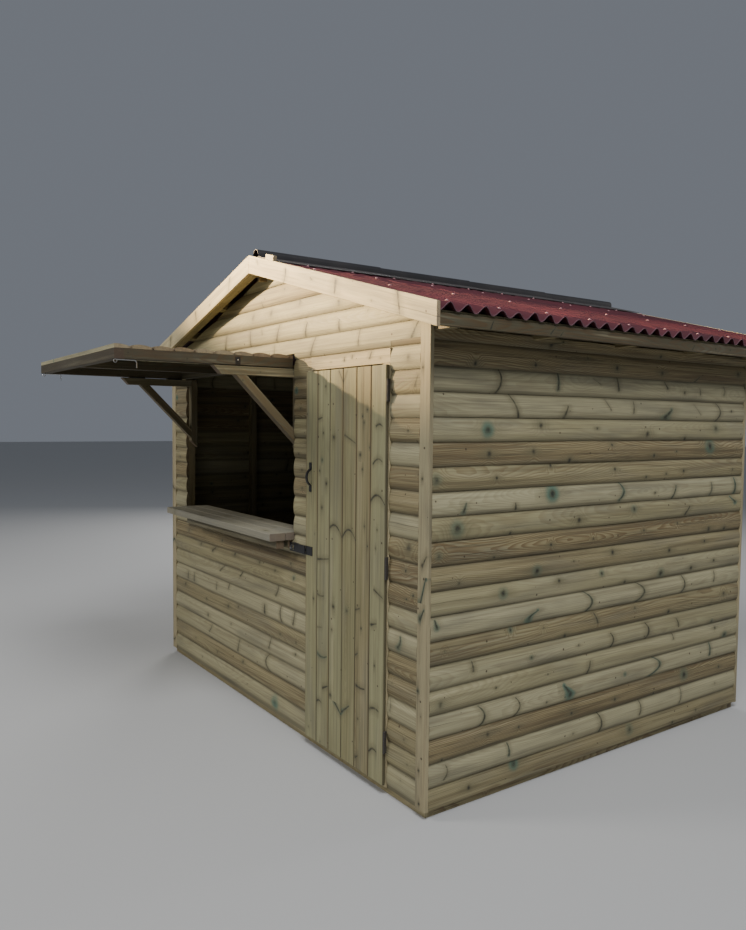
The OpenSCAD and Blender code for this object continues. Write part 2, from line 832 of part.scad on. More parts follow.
// Hasp: a plate on the door, a hinged strap and a staple on the wall
module hasp_leaf() {
    mid = mid_knuckle(hasp_h);
    back = hasp_r - seat_gap + hasp_t;
    plate_x = hasp_r + hinge_play;
    color([0.12, 0.12, 0.12]) translate([hasp_x, hasp_y, hasp_z]) difference() {
        union() {
            knuckle(hasp_r, -mid, mid);
            box_between([plate_x, back - hasp_t, -hasp_h / 2], [plate_x + hasp_leaf_l, back, hasp_h / 2]);
            box_between([hasp_pin_r + hinge_play, hasp_r / 2, -mid], [plate_x + hasp_t, back, mid]);
        }
        knuckle(hasp_pin_r + seat_gap, -hasp_h, hasp_h);
    }
}

module hasp_strap() {
    slot_half = staple_half + staple_gap;
    slot_half_w = staple_bar / 2 + staple_gap;
    root = -hasp_r - hinge_play;
    color([0.12, 0.12, 0.12]) translate([hasp_x, hasp_y, hasp_z]) {
        for (end = end_knuckles(hasp_h)) {
            knuckle(hasp_r, end[0], end[1]);
            box_between([root, -hasp_t / 2, end[0]], [0, hasp_t / 2, end[1]]);
        }
        knuckle(hasp_pin_r, -hasp_h / 2, hasp_h / 2);
        difference() {
            box_between([-hasp_strap_l, -hasp_t / 2, -hasp_h / 2], [root, hasp_t / 2, hasp_h / 2]);
            box_between(
                [-staple_reach - slot_half_w, -hasp_t, -slot_half],
                [-staple_reach + slot_half_w, hasp_t, slot_half]
            );
        }
    }
}

module hasp_staple() {
    reach = -hasp_y - half_d + staple_out - staple_half;
    half = staple_plate / 2;
    eye_r = staple_half - staple_bar;
    color("silver") translate([staple_x, -half_d, hasp_z]) {
        box_between([-half, -staple_plate_t, -half], [half, 0, half]);
        along_x(-staple_bar / 2, staple_bar / 2) difference() {
            union() {
                translate([-reach, 0]) circle(r = staple_half, $fn = 32);
                translate([-reach, -staple_half]) square([reach - staple_plate_t / 2, 2 * staple_half]);
            }
            translate([-reach, 0]) circle(r = eye_r, $fn = 32);
            translate([-reach, -eye_r]) square([reach - staple_plate_t, 2 * eye_r]);
        }
    }
}

// Shutter, drawn closed and then lifted a quarter turn
module lifted() {
    translate([0, flap_y, flap_z]) rotate([-90, 0, 0]) translate([0, -flap_y, -flap_z]) children();
}

// Its highest overlap, and the lowest one that is still above the shutter's lower edge
flap_top_lap = hatch_top - flap_lap_drop;
flap_lap = flap_top_lap - floor((flap_top_lap - flap_low) / flap_cover) * flap_cover;

module flap_cladding() {
    color("wheat") lifted() front_boards(flap_x0, flap_x1, flap_low, flap_high, flap_lap, flap_cover);
}

module flap_timber(x0, x1, z0, z1) {
    lifted() box_between([x0, -frame_y, z0], [x1, -frame_y + flap_frame_t, z1]);
}

module flap_ribs() {
    middle = (flap_x0 + flap_x1 - frame_t) / 2;
    color("tan") {
        for (x = [flap_x0, flap_x1 - frame_t])
            flap_timber(x, x + frame_t, flap_low + frame_t, flap_high);
        flap_timber(middle, middle + frame_t, flap_low + frame_t, flap_high - frame_t);
    }
}

module flap_rails() {
    color("tan") {
        flap_timber(flap_x0, flap_x1, flap_low, flap_low + frame_t);
        flap_timber(flap_x0 + frame_t, flap_x1 - frame_t, flap_high - frame_t, flap_high);
    }
}

// Hinges of the shutter: drawn about an axis along X, with the leaf that turns reaching out to -Y
flap_hinge_x = [
    for (i = [0 : flap_hinges_n - 1])
        flap_x0 + hinge_l + i * (flap_x1 - flap_x0 - 2 * hinge_l) / (flap_hinges_n - 1)
];

module flap_knuckle(r, x0, x1) {
    translate([x0, 0, 0]) rotate([0, 90, 0]) cylinder(r = r, h = x1 - x0, $fn = 32);
}

// Leaf on the shutter's highest board, as low as that board's face
module flap_leaf_with_bore() {
    mid = mid_knuckle(hinge_l);
    clear = flap_hinge_r + hinge_play;
    seat = -face_fall((flap_high - flap_top_lap) / flap_cover);
    difference() {
        union() {
            flap_knuckle(flap_hinge_r, -mid, mid);
            box_between([-hinge_l / 2, -clear - flap_leaf_l, seat], [hinge_l / 2, -clear, seat + leaf_t]);
            box_between([-mid, -clear, seat], [mid, -flap_pin_r - pin_wall, seat + leaf_t]);
        }
        flap_knuckle(flap_pin_r + seat_gap, -hinge_l, hinge_l);
    }
}

// Leaf under the head of the hatch
module flap_leaf_with_pin() {
    clear = flap_hinge_r + hinge_play;
    top = flap_axis_drop;
    for (end = end_knuckles(hinge_l)) {
        flap_knuckle(flap_hinge_r, end[0], end[1]);
        box_between([end[0], 0, top - leaf_t], [end[1], clear, top]);
    }
    flap_knuckle(flap_pin_r, -hinge_l / 2, hinge_l / 2);
    box_between([-hinge_l / 2, clear, top - leaf_t], [hinge_l / 2, clear + flap_leaf_l, top]);
}

// Hinges of the brackets: drawn for the right one about an axis along Y, with both leaves in
// the seam, one on the frame's timber and one on the bracket
fold_hinge_y = [-half_d - bracket_reach + hinge_l, -half_d - hinge_l];

module fold_knuckle(r, y0, y1) {
    translate([0, y1, 0]) rotate([90, 0, 0]) cylinder(r = r, h = y1 - y0, $fn = 32);
}

module fold_leaf_with_pin() {
    for (end = end_knuckles(hinge_l)) {
        fold_knuckle(flap_hinge_r, end[0], end[1]);
        box_between([0, end[0], seat_gap / 2], [fold_gap, end[1], fold_seam / 2]);
    }
    fold_knuckle(flap_pin_r, -hinge_l / 2, hinge_l / 2);
    box_between([fold_gap, -hinge_l / 2, seat_gap / 2], [flap_leaf_l, hinge_l / 2, fold_seam / 2]);
}

module fold_leaf_with_bore() {
    mid = mid_knuckle(hinge_l);
    difference() {
        union() {
            fold_knuckle(flap_hinge_r, -mid, mid);
            box_between([flap_pin_r + pin_wall, -mid, -fold_seam / 2], [fold_gap, mid, -seat_gap / 2]);
            box_between([fold_gap, -hinge_l / 2, -fold_seam / 2], [flap_leaf_l, hinge_l / 2, -seat_gap / 2]);
        }
        fold_knuckle(flap_pin_r + seat_gap, -hinge_l, hinge_l);
    }
}

// The children at the right bracket's hinges, and mirrored at the left bracket's
module at_right_fold_hinges() {
    for (y = fold_hinge_y) translate([fold_right_x, y, fold_z]) children();
}

module at_left_fold_hinges() {
    for (y = fold_hinge_y) translate([fold_left_x, y, fold_z]) mirror([1, 0, 0]) children();
}

// Leaves that turn with the shutter: its own hinges', and those that carry the brackets
module flap_hinge_leaves() {
    color([0.1, 0.1, 0.1]) {
        for (x = flap_hinge_x) translate([x, flap_y, flap_z]) flap_leaf_with_bore();
        at_right_fold_hinges() fold_leaf_with_pin();
        at_left_fold_hinges() fold_leaf_with_pin();
    }
}

module flap_hinge_frame_leaves() {
    color([0.1, 0.1, 0.1]) for (x = flap_hinge_x) translate([x, flap_y, flap_z]) flap_leaf_with_pin();
}

module bracket_right_hinges() {
    color([0.1, 0.1, 0.1]) at_right_fold_hinges() fold_leaf_with_bore();
}

module bracket_left_hinges() {
    color([0.1, 0.1, 0.1]) at_left_fold_hinges() fold_leaf_with_bore();
}

// Bracket: a leg against the jamb, an arm under the shutter and a slanting brace
module bracket_outline() {
    tip = -half_d - bracket_reach;
    leg_face = -frame_y;
    leg_back = -inner_y;
    arm_low = bracket_z - frame_t;
    foot = bracket_z - bracket_drop;
    brace_y = tip + brace_inset;
    brace_cut = frame_t * sqrt(2);
    brace_foot = arm_low - (leg_face - brace_y);
    difference() {
        polygon([
            [tip, bracket_z], [tip + frame_t, arm_low], [brace_y, arm_low], [leg_face, brace_foot],
            [leg_face, foot + frame_t], [leg_back, foot], [leg_back, bracket_z]
        ]);
        polygon([[brace_y + brace_cut, arm_low], [leg_face, arm_low], [leg_face, brace_foot + brace_cut]]);
    }
}

module bracket_right() {
    color("wheat") along_x(flap_x1 - frame_t, flap_x1) bracket_outline();
}

module bracket_left() {
    color("wheat") along_x(flap_x0, flap_x0 + frame_t) bracket_outline();
}

floor_rims();
floor_joists();
floor_boards();
side_wall_plates();
gable_wall_plates();
front_wall_studs();
wall_studs();
gable_studs();
right_wall_cladding();
left_wall_cladding();
back_wall_cladding();
front_cladding_ends();
front_cladding_pier();
front_cladding_spans();
front_gable_cladding();
door_linings();
door_head_trim();
corner_trims();
rafters();
purlins_and_ridge_board();
verge_rafters();
barge_boards();
eaves_fascias();
roof_sheet_left();
roof_sheet_right();
ridge_cap();
counter();
counter_rails();
hinge_frame_leaves();
hasp_staple();
flap_hinge_frame_leaves();
door_boards();
door_ledges();
door_hinge_leaves();
door_handle();
hasp_leaf();
hasp_strap();
flap_cladding();
flap_ribs();
flap_rails();
flap_hinge_leaves();
bracket_left();
bracket_left_hinges();
bracket_right();
bracket_right_hinges();
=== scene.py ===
# %% [markdown]
# A timber street kiosk, dressed for its picture.
# The real object is a small hut of pressure treated pine: rounded overlapping wall boards on
# a light frame, a boarded door, a serving hatch under a shutter that is propped open, and a
# low roof of corrugated sheets. The packed model gives the structure at its real size. This
# script loads it first, so that every board and fitting made below is placed from a box that
# was measured, and nothing has to be fitted by eye.
# %% Load the frame
import math
import random
import bpy
import bmesh
from mathutils import Matrix, Vector


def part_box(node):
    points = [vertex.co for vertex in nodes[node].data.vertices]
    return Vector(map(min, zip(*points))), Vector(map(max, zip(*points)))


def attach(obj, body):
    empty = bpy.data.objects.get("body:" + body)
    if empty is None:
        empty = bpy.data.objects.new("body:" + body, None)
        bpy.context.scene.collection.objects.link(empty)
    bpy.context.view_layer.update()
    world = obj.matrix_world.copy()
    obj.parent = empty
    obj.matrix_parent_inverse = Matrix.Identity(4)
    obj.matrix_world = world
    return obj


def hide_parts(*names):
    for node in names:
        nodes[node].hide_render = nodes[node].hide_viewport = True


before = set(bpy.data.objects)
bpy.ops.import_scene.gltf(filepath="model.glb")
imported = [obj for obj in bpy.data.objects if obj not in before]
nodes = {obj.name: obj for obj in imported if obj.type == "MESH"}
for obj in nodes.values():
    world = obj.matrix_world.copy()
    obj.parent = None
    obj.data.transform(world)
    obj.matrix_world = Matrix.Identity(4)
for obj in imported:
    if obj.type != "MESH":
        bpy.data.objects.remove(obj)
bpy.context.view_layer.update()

# %% [markdown]
# The picture was taken off the right front corner, at eye height, in an upright frame. A camera
# can be aimed with a target and a constraint, but the place, the three angles and the focal
# length were solved from the hut's straight edges, so the matrix is written from them. The lens
# is fitted to the picture's height, because the height decides the field of view of an upright
# frame.
# %% The camera
IMAGE_W = 746
IMAGE_H = 930
FOCAL_PX = 771.75
SENSOR_MM = 36
EYE = Vector((3.954, -3.218, 1.686))
YAW, PITCH, ROLL = (math.radians(angle) for angle in (55.025, -3.10, 0.55))


def aimed_matrix(eye, yaw, pitch, roll):
    """The matrix of a camera that looks along -Z, with X to its right and Y up."""
    forward = Vector((
        -math.sin(yaw) * math.cos(pitch),
        math.cos(yaw) * math.cos(pitch),
        math.sin(pitch),
    ))
    right = forward.cross(Vector((0, 0, 1))).normalized()
    up = right.cross(forward)
    tilted_right = right * math.cos(roll) + up * math.sin(roll)
    tilted_up = up * math.cos(roll) - right * math.sin(roll)
    turned = Matrix((tilted_right, tilted_up, -forward)).transposed()
    return Matrix.Translation(eye) @ turned.to_4x4()


camera_data = bpy.data.cameras.new("photo_camera")
camera_data.sensor_fit = "VERTICAL"
camera_data.sensor_height = SENSOR_MM
camera_data.lens = FOCAL_PX / IMAGE_H * SENSOR_MM
camera = bpy.data.objects.new("photo_camera", camera_data)
bpy.context.scene.collection.objects.link(camera)
camera.matrix_world = aimed_matrix(EYE, YAW, PITCH, ROLL)
bpy.context.scene.camera = camera
print("Lens", round(camera_data.lens, 2), "mm, field of view",
      round(math.degrees(2 * math.atan(IMAGE_W / 2 / FOCAL_PX)), 1), "degrees across")

# %% [markdown]
# The hut stands on a plain pale floor under soft light. The low sun in the picture only
# reaches the gable and the barge boards, so the key light has a narrow beam, as a studio lamp
# with a grid has, and is aimed over them, so that only the lower edge of the beam falls there.
# A wide light high above stands in for the open sky. It falls on the upper half of each rounded
# board and leaves its lower edge in shade. Weaker lights fill in the front, the left and the back.
# %% Floor and lights
FLOOR_HALF = 60.0
MIDDLE = (0, 0, 1.6)
OVER_GABLE = (0.3, -1.2, 4.2)
SKY_BLUE = (0.80, 0.87, 1.0, 1)
SKY_STRENGTH = 0.20


def add_light(name, place, aim, size, power, colour, beam=180):
    """A round area light; beam is the angle in degrees that its rays spread over."""
    data = bpy.data.lights.new(name, "AREA")
    data.shape = "DISK"
    data.size = size
    data.energy = power
    data.color = colour
    data.spread = math.radians(beam)
    light = bpy.data.objects.new(name, data)
    bpy.context.scene.collection.objects.link(light)
    light.location = place
    light.rotation_euler = (Vector(aim) - Vector(place)).to_track_quat("-Z", "Y").to_euler()


floor_mesh = bpy.data.meshes.new("studio_floor")
floor_mesh.from_pydata(
    [(x * FLOOR_HALF, y * FLOOR_HALF, 0) for x, y in ((-1, -1), (1, -1), (1, 1), (-1, 1))],
    [], [(0, 1, 2, 3)])
floor = bpy.data.objects.new("studio_floor", floor_mesh)
bpy.context.scene.collection.objects.link(floor)

world = bpy.data.worlds.new("studio")
bpy.context.scene.world = world
world.use_nodes = True
sky = world.node_tree.nodes["Background"]
sky.inputs["Color"].default_value = SKY_BLUE
sky.inputs["Strength"].default_value = SKY_STRENGTH
add_light("key", (-6.2, -7.2, 4.6), OVER_GABLE, 0.2, 480, (1.0, 0.74, 0.44), 30)
add_light("overhead", (4.4, -2.6, 7.6), MIDDLE, 3.5, 460, (0.96, 0.97, 1.0))
add_light("front_soft", (-2.5, -7.2, 5.2), MIDDLE, 2.2, 190, (1.0, 0.97, 0.92))
add_light("left_soft", (-8.0, 4.5, 4.5), MIDDLE, 4.0, 300, (1.0, 0.98, 0.95))
add_light("back_soft", (2.0, 9.0, 5.0), MIDDLE, 4.0, 130, (1.0, 0.98, 0.95))

# %% [markdown]
# Finishes are sums of noise, knots and rings, which read badly as long lists of nodes. The
# small class below wraps one output socket, so that a mask can be written as 1 - mask * 0.5
# and each operator adds its own Math node. Every other node comes from one method that takes
# its type, its settings and its inputs. Colours go through a Mix node, because a Math node
# would turn them grey.
# %% Shader maths
class Wire:
    """An output socket that can be calculated with."""

    def __init__(self, tree, socket):
        self.tree = tree
        self.socket = socket

    def node(self, kind, settings=None, inputs=None, output=0):
        made = self.tree.nodes.new(kind)
        for name, value in (settings or {}).items():
            setattr(made, name, value)
        for key, value in (inputs or {}).items():
            if isinstance(value, Wire):
                self.tree.links.new(value.socket, made.inputs[key])
            else:
                made.inputs[key].default_value = value
        return Wire(self.tree, made.outputs[output])

    def beside(self, output):
        """Another output of the same node."""
        return Wire(self.tree, self.socket.node.outputs[output])

    def maths(self, operation, *others):
        """A Math node whose first value is this wire."""
        return self.node("ShaderNodeMath", {"operation": operation},
                         dict(enumerate((self, *others))))

    def reflected(self, operation, first):
        """A Math node whose second value is this wire, as 1 - mask needs."""
        return self.node("ShaderNodeMath", {"operation": operation}, {0: first, 1: self})

    def __add__(self, other):
        return self.maths("ADD", other)

    def __sub__(self, other):
        return self.maths("SUBTRACT", other)

    def __mul__(self, other):
        return self.maths("MULTIPLY", other)

    def __truediv__(self, other):
        return self.maths("DIVIDE", other)

    def __rsub__(self, other):
        return self.reflected("SUBTRACT", other)

    def __rtruediv__(self, other):
        return self.reflected("DIVIDE", other)

    __radd__ = __add__
    __rmul__ = __mul__

    def size(self):
        """The value without its sign."""
        return self.maths("ABSOLUTE")

    def fract(self):
        return self.maths("FRACT")

    def root(self):
        return self.maths("SQRT")

    def below(self, limit):
        return self.maths("LESS_THAN", limit)

    def at_least(self, other):
        return self.maths("MAXIMUM", other)

    def at_most(self, other):
        return self.maths("MINIMUM", other)

    def rise(self, start, end):
        """0 before start and 1 past end, smooth between; start may be the larger one."""
        return self.node(
            "ShaderNodeMapRange", {"interpolation_type": "SMOOTHSTEP"},
            {"Value": self, "From Min": start, "From Max": end})

    def parts(self):
        split = self.node("ShaderNodeSeparateXYZ", None, {0: self})
        return split, split.beside(1), split.beside(2)

    def join(self, x, y, z):
        return self.node("ShaderNodeCombineXYZ", None, {0: x, 1: y, 2: z})

    def stored(self, name):
        """The three parts of a mesh attribute."""
        return self.node("ShaderNodeAttribute", {"attribute_name": name}, None, "Vector").parts()

    def speckle(self, scale, detail=2.0, roughness=0.5):
        """Noise at this place, as fine in every direction, from about 0.2 to 0.8."""
        return self.node(
            "ShaderNodeTexNoise", {"noise_dimensions": "3D"},
            {"Vector": self, "Scale": scale, "Detail": detail, "Roughness": roughness})

    def noise(self, x, y, z, detail=2.0, roughness=0.5):
        """Noise at three coordinates, which may be stretched each by its own number."""
        return self.join(x, y, z).speckle(1.0, detail, roughness)

    def coats(self, under, *layers):
        """A colour with others painted over it in turn, each given as (colour, share)."""
        for over, share in layers:
            under = self.node("ShaderNodeMix", {"data_type": "RGBA"},
                              {0: share, 6: under, 7: over}, 2)
        return under


def new_finish(name, roughness=0.7, metallic=0.0):
    """A material with one Principled shader, and a wire of the object's coordinates."""
    material = bpy.data.materials.new(name)
    material.use_nodes = True
    tree = material.node_tree
    shader = tree.nodes["Principled BSDF"]
    shader.inputs["Roughness"].default_value = roughness
    shader.inputs["Metallic"].default_value = metallic
    place = Wire(tree, tree.nodes.new("ShaderNodeTexCoord").outputs["Object"])
    return material, shader, place


def feed(shader, name, wire):
    wire.tree.links.new(wire.socket, shader.inputs[name])


def feed_bump(shader, height, depth_mm):
    feed(shader, "Normal", height.node(
        "ShaderNodeBump", None,
        {"Height": height, "Distance": depth_mm / 1000, "Strength": 1.0}, "Normal"))


print("Wire adds Math nodes for + - * and /")

# %% [markdown]
# A matt pale grey with no pattern keeps the floor from taking the eye off the hut.
# %% Floor finish
FLOOR_GREY = (0.50, 0.50, 0.49, 1)
floor_finish, floor_shader, _ = new_finish("studio_floor", 0.9)
floor_shader.inputs["Base Color"].default_value = FLOOR_GREY
floor.data.materials.append(floor_finish)
print("The floor is", floor_finish.name)

# %% [markdown]
# Treated pine is the finish of nearly everything here, and it has to hold up close by. A board
# is cut out of a trunk of cone shaped rings, so its figure is worked out as the distance from
# a pith line that wanders behind the board: plain fine lines where the pith is far away,
# nested arches where it comes near, and ring ends on the board's cut end, all from one rule.
# The boards made below carry attributes. Grain is the place along, across and through the
# board in metres. Board holds three numbers of its own: where it was cut from the trunk, how
# near to the pith, and its tone from pale to brown. Pieces kept from the packed model can't
# carry attributes, so for them the same places come from the object's coordinates, turned so
# that the grain runs along the timber.
# %% Places in a board
CELLS_A_METRE = 5


def pine_places(place, axis):
    """Wires along, across and through the wood, and the board's own three numbers."""
    if axis is None:
        return place.stored("grain"), place.stored("board")
    x, y, z = place.parts()
    along, across, through = {"X": (x, y, z), "Y": (y, x, z), "Z": (z, x, y)}[axis]
    which = place.join((across * CELLS_A_METRE).maths("FLOOR"),
                       (through * CELLS_A_METRE).maths("FLOOR"), 0)
    own = place.node("ShaderNodeTexWhiteNoise", {"noise_dimensions": "3D"},
                     {"Vector": which}, "Color")
    return (along, across, through), own.parts()


print("Framing timbers change their figure every", 1 / CELLS_A_METRE, "m")

# %% [markdown]
# Knots and strokes make this timber what it is. A knot is a branch cut across, a stroke is one
# cut lengthwise, a dark curve right across the board. A Voronoi pattern scatters dots but can't
# draw a curve or put a knot where it really is. So each board is divided along its length, with
# one mark in each part, and the mesh carries the distance to that mark. The shader turns the
# distance into a dark heart, a ring, a pale rim and a halo that is sometimes stained turquoise
# by the treatment salts. A knot is then just a stroke of no length.
# %% Marks in the wood
LEAST_M = 0.0005
MARK_SHAKE_M = 0.009
HALO_SHAKE_M = 0.010
HALO_STRETCH = 0.30


def mark_masks(place, u, v, figure):
    """How far the mark and its halo are in radii, its stain and how dark it is."""
    beside, above, radius = place.stored("mark")
    lean, bend, reach = place.stored("form")
    stain, foot, dark = place.stored("tint")
    share = (above / reach.at_least(LEAST_M)).at_most(1.0).at_least(-1.0)
    curve = beside - lean * share + bend * share * share
    past = (above.size() - reach).at_least(0.0)
    shake = place.noise(u * 80, v * 110, figure * 9, 4.0, 0.65) - 0.5
    away = (curve * curve + past * past).root() + shake * MARK_SHAKE_M
    wide = curve * HALO_STRETCH
    smear = (wide * wide + past * past).root() + shake * HALO_SHAKE_M
    thick = (radius * (1 - foot * share)).at_least(LEAST_M)
    return away / thick, smear / radius.at_least(LEAST_M), stain, dark


print("A halo is", round(1 / HALO_STRETCH, 1), "times as long as it is wide")

# %% [markdown]
# The whole finish in one function: the rings and streaks first, then the colours from the
# board's tone to its marks, and last the relief, where hard rings and knots stand a little proud.
# %% Treated pine
RING_M = 0.0040
PIN_CELL = 0.13
# How often in a metre each pattern changes, along the wood and across it
FIBRES = (8, 600)
THREADS = (2.6, 210)
STREAKS = (1.1, 42)
CLOUDS = (2.0, 11)
# Colours of the wood's own figure
CLOUD_GREEN = (0.22, 0.21, 0.145, 1)
STREAK_BROWN = (0.140, 0.108, 0.055, 1)
STREAK_STRAW = (0.66, 0.57, 0.34, 1)
RING_BROWN = (0.15, 0.085, 0.030, 1)
THREAD_BROWN = (0.085, 0.070, 0.038, 1)
FIBRE_BROWN = (0.12, 0.09, 0.05, 1)
# Colours of what has happened to it
RESIN_BROWN = (0.23, 0.15, 0.062, 1)
JOINT_DIRT = (0.065, 0.052, 0.028, 1)
LAP_SHADE = (0.085, 0.072, 0.038, 1)
RAIN_GREY = (0.27, 0.27, 0.24, 1)
CRACK_DARK = (0.035, 0.030, 0.018, 1)
SAWN_END_RED = (0.150, 0.085, 0.055, 1)
BLACK = (0, 0, 0, 1)
# Colours of knots and strokes, from the outside in
HALO_OLIVE = (0.135, 0.120, 0.062, 1)
RIM_OLIVE = (0.150, 0.140, 0.075, 1)
SALT_TURQUOISE = (0.035, 0.165, 0.130, 1)
KNOT_BROWN = (0.085, 0.070, 0.036, 1)
HEART_BLACK = (0.020, 0.024, 0.017, 1)
PIN_BROWN = (0.07, 0.045, 0.022, 1)


def pine(name, tones, rings_show=1.0, grey=0.0, axis=None, edge_w=None, lap_w=None, painted_shade=0.0):
    """Treated pine in four tones, pale to brown. With edge_w, the board's width, its two
    edges are browned by resin, as the door's are. With lap_w, the cover of a wall board, painted
    shade darkens the wood under its lip and in the corner above it. The last argument is the
    share of black mixed over the whole timber as painted shade."""
    material, shader, place = new_finish(name)
    (u, v, w), (figure, close, tone_at) = pine_places(place, axis)

    pins = place.node(
        "ShaderNodeTexVoronoi", {"voronoi_dimensions": "2D"},
        {"Vector": place.join(u, v + figure * 37, 0), "Scale": 1 / PIN_CELL}, "Distance")
    odds, pin_size, _ = pins.beside("Color").parts()
    ragged = place.noise(u * 120, v * 120, figure * 9) - 0.5
    pin_away = (pins * PIN_CELL + ragged * 0.003) / (pin_size * 0.004 + 0.0018)
    pin = pin_away.rise(1.2, 0.7) * odds.below(0.4)
    near = pin_away
    if axis is None:
        near, smear, stain, dark = mark_masks(place, u, v, figure)
    around = near.rise(6.0, 0.8)

    # Rings round a pith that wanders behind the board
    drift = place.noise(u * 0.75, figure * 50, 1.7, 1.0) - 0.5
    sink = place.noise(u * 0.55, close * 50, 8.3, 1.0) - 0.5
    sideways = v - 0.05 + (figure - 0.5) * 0.14 + drift * 0.16
    deep = w + 0.010 + close * 0.06 + sink.size() * 0.20
    wavy = place.noise(u * 3.4, v * 19, w * 19) - 0.5
    trunk = (sideways * sideways + deep * deep).root() + wavy * 0.009 + around * 0.011
    turn = (trunk / RING_M + place.noise(trunk * 45, figure * 20, 0) * 1.7).fract()
    late = turn.rise(0.2, 0.88) * (1 - turn.rise(0.93, 1.0))
    band = place.noise(trunk * 95, figure * 31, 4.2, 3.0)

    # Fibres, streaks and clouds along the wood
    def drawn_out(often, shift=None, roughness=0.5):
        lengthwise, crosswise = often
        inward = w * crosswise if shift is None else w * crosswise + shift
        return place.noise(u * lengthwise, v * crosswise, inward, 3.0, roughness)

    fibre = drawn_out(FIBRES)
    thread = drawn_out(THREADS, figure * 30, 0.6)
    streak = drawn_out(STREAKS, figure * 30)
    cloud = drawn_out(CLOUDS, close * 30)
    patch = place.noise(u * 0.9 + figure * 17, v * 3, close * 9, 2.0)
    browner = tone_at.rise(0.25, 0.95) * 0.85 + 0.15

    # A hairline crack along the middle of a few boards
    crack_v = (v - 0.058 + (place.noise(u * 5, figure * 9, 0) - 0.5) * 0.012).size()
    crack = crack_v.rise(0.0011, 0.0003) * patch.rise(0.60, 0.64) * tone_at.below(0.3)

    # Colour, from the board's own tone to its marks
    pale, olive, tan, brown = tones
    at = tone_at + (patch - 0.5) * 0.45 + (band - 0.5) * 0.35
    tone = place.coats(
        pale,
        (olive, at.rise(0.10, 0.40)),
        (tan, at.rise(0.40, 0.72)),
        (brown, at.rise(0.72, 1.10)),
        (CLOUD_GREEN, cloud.rise(0.46, 0.72) * 0.55),
        (STREAK_BROWN, streak.rise(0.47, 0.68) * (browner + 0.35) * 0.62),
        (STREAK_STRAW, streak.rise(0.46, 0.26) * 0.32),
        (RING_BROWN, late * (browner + 0.12) * 0.66 * rings_show),
        (THREAD_BROWN, thread.rise(0.50, 0.68) * (browner + 0.30) * 0.66),
        (FIBRE_BROWN, fibre.rise(0.55, 0.8) * 0.30))
    if edge_w:
        side = (v - edge_w / 2).size()
        resin = side.rise(edge_w / 2 - 0.020, edge_w / 2 - 0.001) * patch.rise(0.45, 0.62)
        joint = side.rise(edge_w / 2 - 0.007, edge_w / 2 - 0.001)
        tone = place.coats(tone, (RESIN_BROWN, resin * 0.55), (JOINT_DIRT, joint * 0.75))
    # Painted shade under each board's lip and in the corner above it, mottled by the clouds.
    if lap_w:
        lap_shade_mask = v.rise(0.022, 0.001) * 0.8 + v.rise(lap_w - 0.014, lap_w - 0.002) * 0.7
        tone = place.coats(tone, (LAP_SHADE, lap_shade_mask * (cloud * 0.6 + 0.4)))
    tone = place.coats(
        tone, (RAIN_GREY, grey), (CRACK_DARK, crack * 0.85), (PIN_BROWN, pin * 0.85))
    relief = late * 0.5 + fibre * 0.6 + pin * 0.4 - crack
    if axis is None:
        sawn_end = place.stored("cut")[0]
        halo = smear.rise(3.0, 0.5)
        close_by = near.rise(3.4, 0.9)
        worn = place.noise(u * 45, v * 45, figure * 13, 3.0).rise(0.30, 0.62) * 0.55 + 0.45
        knot = near.rise(1.7, 0.7) * worn
        heart = near.rise(0.95, 0.25) * worn
        splash = close_by * (cloud.rise(0.30, 0.55) * 0.6 + 0.4)
        tone = place.coats(
            tone,
            (SAWN_END_RED, sawn_end * 0.5),
            (HALO_OLIVE, halo * dark * 0.42),
            (RIM_OLIVE, close_by * dark * 0.38),
            (SALT_TURQUOISE, splash * stain * 0.70),
            (KNOT_BROWN, knot * dark * 0.78),
            (HEART_BLACK, heart * dark * 0.85))
        relief = relief + knot * 0.6 - heart * 0.9
    # Painted shade: a share of black mixed over the whole colour, for copies that stand in shade.
    if painted_shade:
        tone = place.coats(tone, (BLACK, painted_shade))
    feed(shader, "Base Color", tone)
    feed(shader, "Roughness", late * -0.10 + fibre * 0.2 + 0.62)
    feed_bump(shader, relief, 0.45)
    return material


PALE = (0.46, 0.42, 0.25, 1)
OLIVE = (0.37, 0.33, 0.175, 1)
TAN = (0.34, 0.285, 0.145, 1)
BROWN = (0.26, 0.200, 0.100, 1)
LAP_W = 0.105
wall_pine = pine("wall_pine", (PALE, OLIVE, TAN, BROWN), lap_w=LAP_W)
print("wall_pine has", len(wall_pine.node_tree.nodes), "nodes")

# %% [markdown]
# The planed trim, the door, the sawn frame and the weathered counter are the same wood with
# other tones: bright and clean for the trim, greener for the door, darker for the frame
# inside, darker still for the sawn battens and rails, partly as painted shade, and grey on the
# counter, where rain has washed the colour out. Some copies are darkened all over by painted shade.
# %% The other timbers
CREAM = (0.62, 0.52, 0.30, 1)
DOOR_GREEN = (0.36, 0.345, 0.185, 1)
DOOR_OLIVE = (0.31, 0.285, 0.140, 1)
DOOR_BOARD_W = 0.1172
TRIM_TONES = (CREAM, PALE, OLIVE, TAN)
trim_pine = pine("trim_pine", TRIM_TONES, 0.6)
door_pine = pine("door_pine", (DOOR_GREEN, DOOR_OLIVE, TAN, BROWN), 0.7, edge_w=DOOR_BOARD_W)
counter_pine = pine("counter_pine", (PALE, TAN, OLIVE, TAN), 0.8, 0.55)
frame_pine = {
    axis: pine("frame_pine_" + axis.lower(), (TAN, OLIVE, TAN, BROWN), 1.0, 0.0, axis)
    for axis in "XYZ"
}
